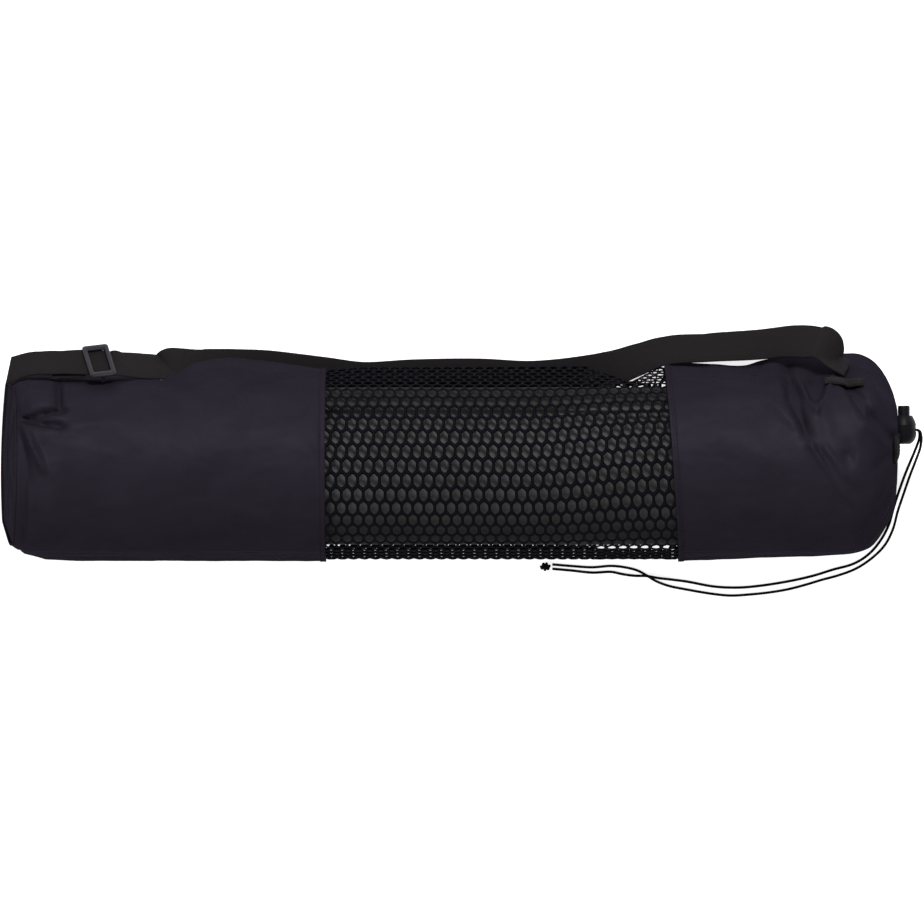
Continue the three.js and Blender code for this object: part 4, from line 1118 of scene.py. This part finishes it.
def flat_bar(name, line, wide, deep, width, depth, material):
    profile = [(-0.5, -0.3), (-0.42, -0.5), (0.42, -0.5), (0.5, -0.3), (0.5, 0.3), (0.42, 0.5), (-0.42, 0.5), (-0.5, 0.3)]
    points = [at + wide * a * width + deep * b * depth for at in line for a, b in profile]
    size, rows = len(profile), len(line)
    faces = grid_faces(rows, size) + [tuple(range(size))[::-1], tuple((rows - 1) * size + k for k in range(size))]
    return mesh_object(name, np.array(points), faces, material)


# Tabs

def crown_patch(rows, angles, stand, thickness):
    """A thin patch on the crown of the mouth sleeve, with its fold heights"""
    grid = []
    for row in rows:
        ring = []
        for angle in angles:
            n = np.array([math.cos(angle), math.sin(angle)])
            at = np.array([[row["side"], row["height"]]]) + row["crown"] * n
            plain = place(row, at, n[None, :], 0.0)
            rise = fold_height(MOUTH_FOLDS, plain[:, 0], plain[:, 1]) * min(1, max(0, n[1] / 0.35)) * 0.7
            ring.append(folded(row, at, n[None, :], stand, rise)[0])
        grid.append(ring)
    return np.array(grid)


def sheet_solid(name, grid, thickness, material):
    """A closed thin sheet from an open grid"""
    rows, across = grid.shape[:2]
    along = np.gradient(grid, axis=0)
    side = np.gradient(grid, axis=1)
    normal = np.cross(side, along)
    normal /= np.linalg.norm(normal, axis=2, keepdims=True)
    if normal[..., 2].mean() < 0:
        normal = -normal
    top = grid + normal * thickness
    points = np.concatenate([grid.reshape(-1, 3), top.reshape(-1, 3)])
    half = rows * across
    faces = grid_faces(rows, across, closed=False) + [f[::-1] for f in grid_faces(rows, across, closed=False, start=half)]
    edge = ([(0, k) for k in range(across)] + [(i, across - 1) for i in range(1, rows)] +
            [(rows - 1, k) for k in range(across - 2, -1, -1)] + [(i, 0) for i in range(rows - 2, 0, -1)])
    ids = [i * across + k for i, k in edge]
    faces += [(ids[j], ids[(j + 1) % len(ids)], half + ids[(j + 1) % len(ids)], half + ids[j]) for j in range(len(ids))]
    runs = [(i * 1.0, k * 1.0) for i in range(rows) for k in range(across)]
    return mesh_object(name, points, faces, material, uvs=runs + runs), top, normal


class MATBAG_OT_tabs(bpy.types.Operator):
    """Make the webbing tabs sewn on near the mouth"""
    bl_idname = "matbag.tabs"
    bl_label = "Webbing tabs"

    def execute(self, context):
        stitch = context.scene.mat_bag_sizes.stitch * 1000
        for node, steps, angles, stand in (("mouth_tab", np.linspace(3.83, 5.1, 22), np.linspace(0.12, 0.42, 14), 1.2),
                                           ("casing_tab", np.linspace(7.4, 8.2, 12), np.linspace(1.3, 1.8, 12), 3.0)):
            grid = crown_patch([mouth_row(s) for s in steps], angles, stand, 1.4)
            patch, top, normal = sheet_solid(node + "_webbing", grid, 1.4, finish_of("webbing"))
            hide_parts(node)
            inner = [(i, 1) for i in range(1, len(steps) - 1)] + [(len(steps) - 2, k) for k in range(1, len(angles) - 1)]
            inner += [(i, len(angles) - 2) for i in range(len(steps) - 2, 0, -1)]
            inner += [(1, k) for k in range(len(angles) - 2, 0, -1)]
            line = [top[i, k] for i, k in inner]
            ups = [normal[i, k] for i, k in inner]
            stitches(node + "_stitching", [(line, ups)], stitch, finish_of("cord"))
        return {"FINISHED"}


# Cord lock and drawcord

class MATBAG_OT_cord_lock(bpy.types.Operator):
    """Make the cord lock's barrel and its sprung plunger"""
    bl_idname = "matbag.cord_lock"
    bl_label = "Cord lock"

    def execute(self, context):
        r, half = 9.2, 10.5
        barrel = [(0.0, -half), (0.46 * r, -half), (0.56 * r, -0.975 * half), (0.72 * r, -0.87 * half),
                  (0.87 * r, -0.7 * half), (0.96 * r, -0.5 * half), (r, -0.28 * half), (r, 0.16 * half), (0.955 * r, 0.2 * half),
                  (0.955 * r, 0.27 * half), (0.99 * r, 0.31 * half), (0.94 * r, 0.5 * half), (0.86 * r, 0.68 * half),
                  (0.76 * r, 0.86 * half), (0.66 * r, 0.99 * half), (5.0, half), (4.75, 0.985 * half), (4.72, 0.6 * half),
                  (4.72, -half + 3.5), (0.0, -half + 3.5)]
        body = self.turned("cord_lock_barrel", barrel, 56, BODY)
        slot = mesh_object("lock_slot", *self.box((0, 0, 0), (30, 3.1, 6.1)), finish_of("plastic"))
        cut = body.modifiers.new("cord slot", "BOOLEAN")
        cut.operation, cut.object, cut.solver = "DIFFERENCE", slot, "EXACT"
        self.settle(body)
        bpy.data.objects.remove(slot)
        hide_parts("cord_lock_body")

        foot, head = -half + 3.5 + 0.3 + 3.5, half + 7.2
        rod = [(0.0, foot), (4.38, foot), (4.4, head - 1.3), (4.28, head - 0.7), (3.9, head - 0.2), (3.3, head),
               (2.2, head - 0.15), (0.0, head - 0.35)]
        plunger = self.turned("cord_lock_button", rod, 40, PLUNGER)
        room = 3.1 + 3.5
        window = mesh_object("button_slot", *self.box((0, room / 2 - 1.55, 0), (30, room, 6.1)), finish_of("plastic"))
        cut = plunger.modifiers.new("cord window", "BOOLEAN")
        cut.operation, cut.object, cut.solver = "DIFFERENCE", window, "EXACT"
        self.settle(plunger)
        bpy.data.objects.remove(window)
        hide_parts("cord_lock_plunger")
        return {"FINISHED"}

    def turned(self, name, profile, sides, body):
        angles = np.arange(sides) / sides * 2 * np.pi
        points, faces, rings = [], [], []
        for radius, along in profile:
            if radius < 1e-6:
                rings.append([len(points)])
                points.append(LOCK + (0, along, 0))
            else:
                rings.append(list(range(len(points), len(points) + sides)))
                points += [LOCK + (radius * math.cos(a), along, radius * math.sin(a)) for a in angles]
        for low, high in zip(rings, rings[1:]):
            for k in range(sides):
                n = (k + 1) % sides
                if len(low) == 1:
                    faces.append((low[0], high[k], high[n]))
                elif len(high) == 1:
                    faces.append((low[k], low[n], high[0]))
                else:
                    faces.append((low[k], low[n], high[n], high[k]))
        piece = mesh_object(name, np.array(points), faces, finish_of("plastic"), body)
        return piece

    def box(self, middle, size):
        corners = [(x, y, z) for x in (-0.5, 0.5) for y in (-0.5, 0.5) for z in (-0.5, 0.5)]
        points = LOCK + np.array(middle) + np.array(corners) * np.array(size)
        return points, [(0, 1, 3, 2), (4, 6, 7, 5), (0, 4, 5, 1), (2, 3, 7, 6), (0, 2, 6, 4), (1, 5, 7, 3)]

    def settle(self, piece):
        """Apply the cut and keep the edges crisp"""
        evaluated = piece.evaluated_get(bpy.context.evaluated_depsgraph_get())
        mesh = bpy.data.meshes.new_from_object(evaluated)
        piece.modifiers.clear()
        piece.data = mesh
        mesh.set_sharp_from_angle(angle=math.radians(32))


# Both strands from the lock's middle, in the working frame
STRAND_A = [
    (0.3, 0, 50), (8.8, 0, 50), (11, -0.8, 49), (11.6, -5.8, 42.9), (9.3, -13.7, 32), (6, -22.5, 19), (2, -33, 7.5),
    (-2.2, -45, 1.9), (-6.2, -57.5, 1.05), (-9.8, -70, 1.05), (-15.9, -81.5, 1.05), (-24.5, -91.5, 1.05),
    (-35.5, -98.5, 1.05), (-50.8, -102.9, 1.05), (-65, -107.3, 1.05), (-81, -111, 1.05), (-103, -114.6, 1.05),
    (-120, -116.1, 1.05), (-138, -115.4, 1.05), (-158.5, -111.7, 1.05), (-170, -110.2, 1.25), (-180, -109, 3.2),
    (-188, -107.6, 3.95), (-197, -107.4, 2.4), (-206, -106.2, 1.05), (-214, -104.6, 1.05), (-228, -105.1, 1.05),
    (-243, -103.6, 1.05), (-257.5, -102.3, 1.05)]
STRAND_B = [
    (0.3, 0, 50), (8.4, 0, 50), (11.4, -0.9, 50), (12.9, -5, 46.8), (12.5, -13, 35), (9.3, -23.5, 18.5),
    (5.2, -35, 6.6), (1, -47.6, 1.6), (-3.2, -60.2, 1.05), (-6.6, -72.9, 1.05), (-12.7, -84.9, 1.05),
    (-22.4, -94.6, 1.05), (-34, -102.2, 1.05), (-46.5, -107, 1.05), (-59.6, -110.6, 1.05), (-70.5, -113.9, 1.05),
    (-84, -117.4, 1.05), (-98.4, -119.8, 1.05), (-112, -121.2, 1.05), (-126.2, -122, 1.05), (-139.4, -120.8, 1.05),
    (-158.4, -117.6, 1.05), (-172, -114.8, 1.05), (-181, -111.4, 1.05), (-188, -107.2, 1.05), (-194.5, -103.7, 1.05),
    (-203, -101.4, 1.05), (-214, -100.2, 1.05), (-228, -101.2, 1.05), (-243, -100.3, 1.05), (-257.5, -99.1, 1.05)]
STRAND_PITCH = 2.5


class MATBAG_OT_drawcord(bpy.types.Operator):
    """Make the two strands of the drawcord and the knot at their ends"""
    bl_idname = "matbag.drawcord"
    bl_label = "Drawcord"

    def execute(self, context):
        diameter = context.scene.mat_bag_sizes.cord_diameter
        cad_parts["drawcord_loop"].data.materials.clear()
        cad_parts["drawcord_loop"].data.materials.append(finish_of("cord"))
        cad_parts["drawcord_loop"].data.polygons.foreach_set(
            "use_smooth", [True] * len(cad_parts["drawcord_loop"].data.polygons))
        knot = self.knot(diameter * 1000)
        for name, route, side, with_pieces in (("drawcord_strand_a", STRAND_A, -1, [knot]),
                                               ("drawcord_strand_b", STRAND_B, 1, [])):
            points = [(LOCK[0] + x, LOCK[1] + y, z + side * STRAND_PITCH / 2 if i < 3 else z)
                      for i, (x, y, z) in enumerate(route)]
            line, _ = centripetal(points, np.linspace(0, 1, 260))
            line = (line + SHIFT) / 1000
            curve = bpy.data.curves.new(name + "_braid", "CURVE")
            curve.dimensions = "3D"
            curve.bevel_depth = diameter / 2
            curve.bevel_resolution = 3
            curve.use_fill_caps = True
            spline = curve.splines.new("POLY")
            spline.points.add(len(line) - 1)
            for point, at in zip(spline.points, line):
                point.co = (*at, 1)
            curve.materials.append(finish_of("cord"))
            strand = bpy.data.objects.new(name + "_braid", curve)
            context.scene.collection.objects.link(strand)
            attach(strand, BODY)
            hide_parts(name)
        return {"FINISHED"}

    def knot(self, cord_mm):
        """An overhand knot: a rope that winds round itself, with its two short ends"""
        low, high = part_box("drawcord_knot")
        middle = np.array([(low[i] + high[i]) / 2 for i in range(3)]) * 1000 - SHIFT
        reach = (high[1] - low[1]) * 500 - cord_mm / 2
        long = (high[0] - low[0]) * 500 - cord_mm / 2
        turns = np.linspace(0, 1, 90)
        angle = turns * 2 * np.pi * 2.75
        swell = np.sin(np.pi * np.clip(turns, 0, 1)) ** 0.5
        line = np.stack([middle[0] + long * (0.9 - 1.8 * turns), middle[1] + reach * swell * np.cos(angle),
                         middle[2] + reach * swell * np.sin(angle)], axis=1)
        piece = tube_mesh("drawcord_knot_braid", line, cord_mm / 2, 10, finish_of("cord"))
        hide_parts("drawcord_knot")
        return piece


# Stage

class MATBAG_OT_stage(bpy.types.Operator):
    """Make the floor, the lights and the camera"""
    bl_idname = "matbag.stage"
    bl_label = "Stage"

    def execute(self, context):
        scene = context.scene
        floor_mesh = bpy.data.meshes.new("floor")
        size = 30
        floor_mesh.from_pydata([(-size, -size, 0), (size, -size, 0), (size, size, 0), (-size, size, 0)], [], [(0, 1, 2, 3)])
        floor_mesh.materials.append(finish_of("floor"))
        floor = bpy.data.objects.new("floor", floor_mesh)
        floor.location = (0, 0, -0.0002)
        scene.collection.objects.link(floor)

        world = bpy.data.worlds.new("studio")
        world.use_nodes = True
        world.node_tree.nodes["Background"].inputs["Color"].default_value = (1, 1, 1, 1)
        world.node_tree.nodes["Background"].inputs["Strength"].default_value = 0.33
        scene.world = world
        for name, at, size, energy in (("key", (0.35, 1.6, 2.2), 0.8, 53.0), ("fill", (-1.7, -1.1, 2.3), 1.6, 20.0)):
            light = bpy.data.lights.new(name, "AREA")
            light.shape = "DISK"
            light.size = size
            light.energy = energy
            lamp = bpy.data.objects.new(name, light)
            lamp.location = at
            lamp.rotation_euler = (Vector((0, 0, 0.05)) - Vector(at)).to_track_quat("-Z", "Y").to_euler()
            lamp.visible_camera = False
            scene.collection.objects.link(lamp)

        middle = (np.array([336.95, 2.93, 0.0]) + SHIFT) / 1000
        camera = bpy.data.cameras.new("camera")
        camera.sensor_width = 36
        distance = 12.0
        camera.lens = 36 * distance / 0.6768
        camera.clip_end = 100
        view = bpy.data.objects.new("camera", camera)
        view.location = (middle[0], middle[1], distance + 0.063)
        scene.collection.objects.link(view)
        scene.camera = view
        scene.view_settings.view_transform = "Standard"
        scene.view_settings.look = "None"
        return {"FINISHED"}


OPERATORS = (
    MATBAG_OT_stage, MATBAG_OT_drawcord, MATBAG_OT_cord_lock, MATBAG_OT_rolled_mat, MATBAG_OT_net, MATBAG_OT_base_sleeve,
    MATBAG_OT_mouth_sleeve, MATBAG_OT_shoulder_strap, MATBAG_OT_strap_slider, MATBAG_OT_tabs,
)


class MATBAG_PT_panel(bpy.types.Panel):
    """The bag's sizes, colours and pieces"""
    bl_idname = "MATBAG_PT_panel"
    bl_label = "Mat Bag"
    bl_space_type = "VIEW_3D"
    bl_region_type = "UI"
    bl_category = "Mat Bag"

    def draw(self, context):
        column = self.layout.column(align=True)
        for group in (context.scene.mat_bag_sizes, context.scene.mat_bag_colours):
            for name in group.__annotations__:
                column.prop(group, name)
            column.separator()
        for operator in OPERATORS:
            column.operator(operator.bl_idname)


CLASSES = (MatBagSizes, MatBagColours, *OPERATORS, MATBAG_PT_panel)


def register():
    for cls in CLASSES:
        bpy.utils.register_class(cls)
    bpy.types.Scene.mat_bag_sizes = PointerProperty(type=MatBagSizes, name="Bag sizes", description="Sizes of the bag's pieces")
    bpy.types.Scene.mat_bag_colours = PointerProperty(type=MatBagColours, name="Bag colours",
                                                      description="Colours of the bag's finishes")


def unregister():
    del bpy.types.Scene.mat_bag_colours
    del bpy.types.Scene.mat_bag_sizes
    for cls in reversed(CLASSES):
        bpy.utils.unregister_class(cls)


def main():
    register()
    for operator in OPERATORS:
        group, name = operator.bl_idname.split(".")
        getattr(getattr(bpy.ops, group), name)()


if __name__ == "__main__":
    main()
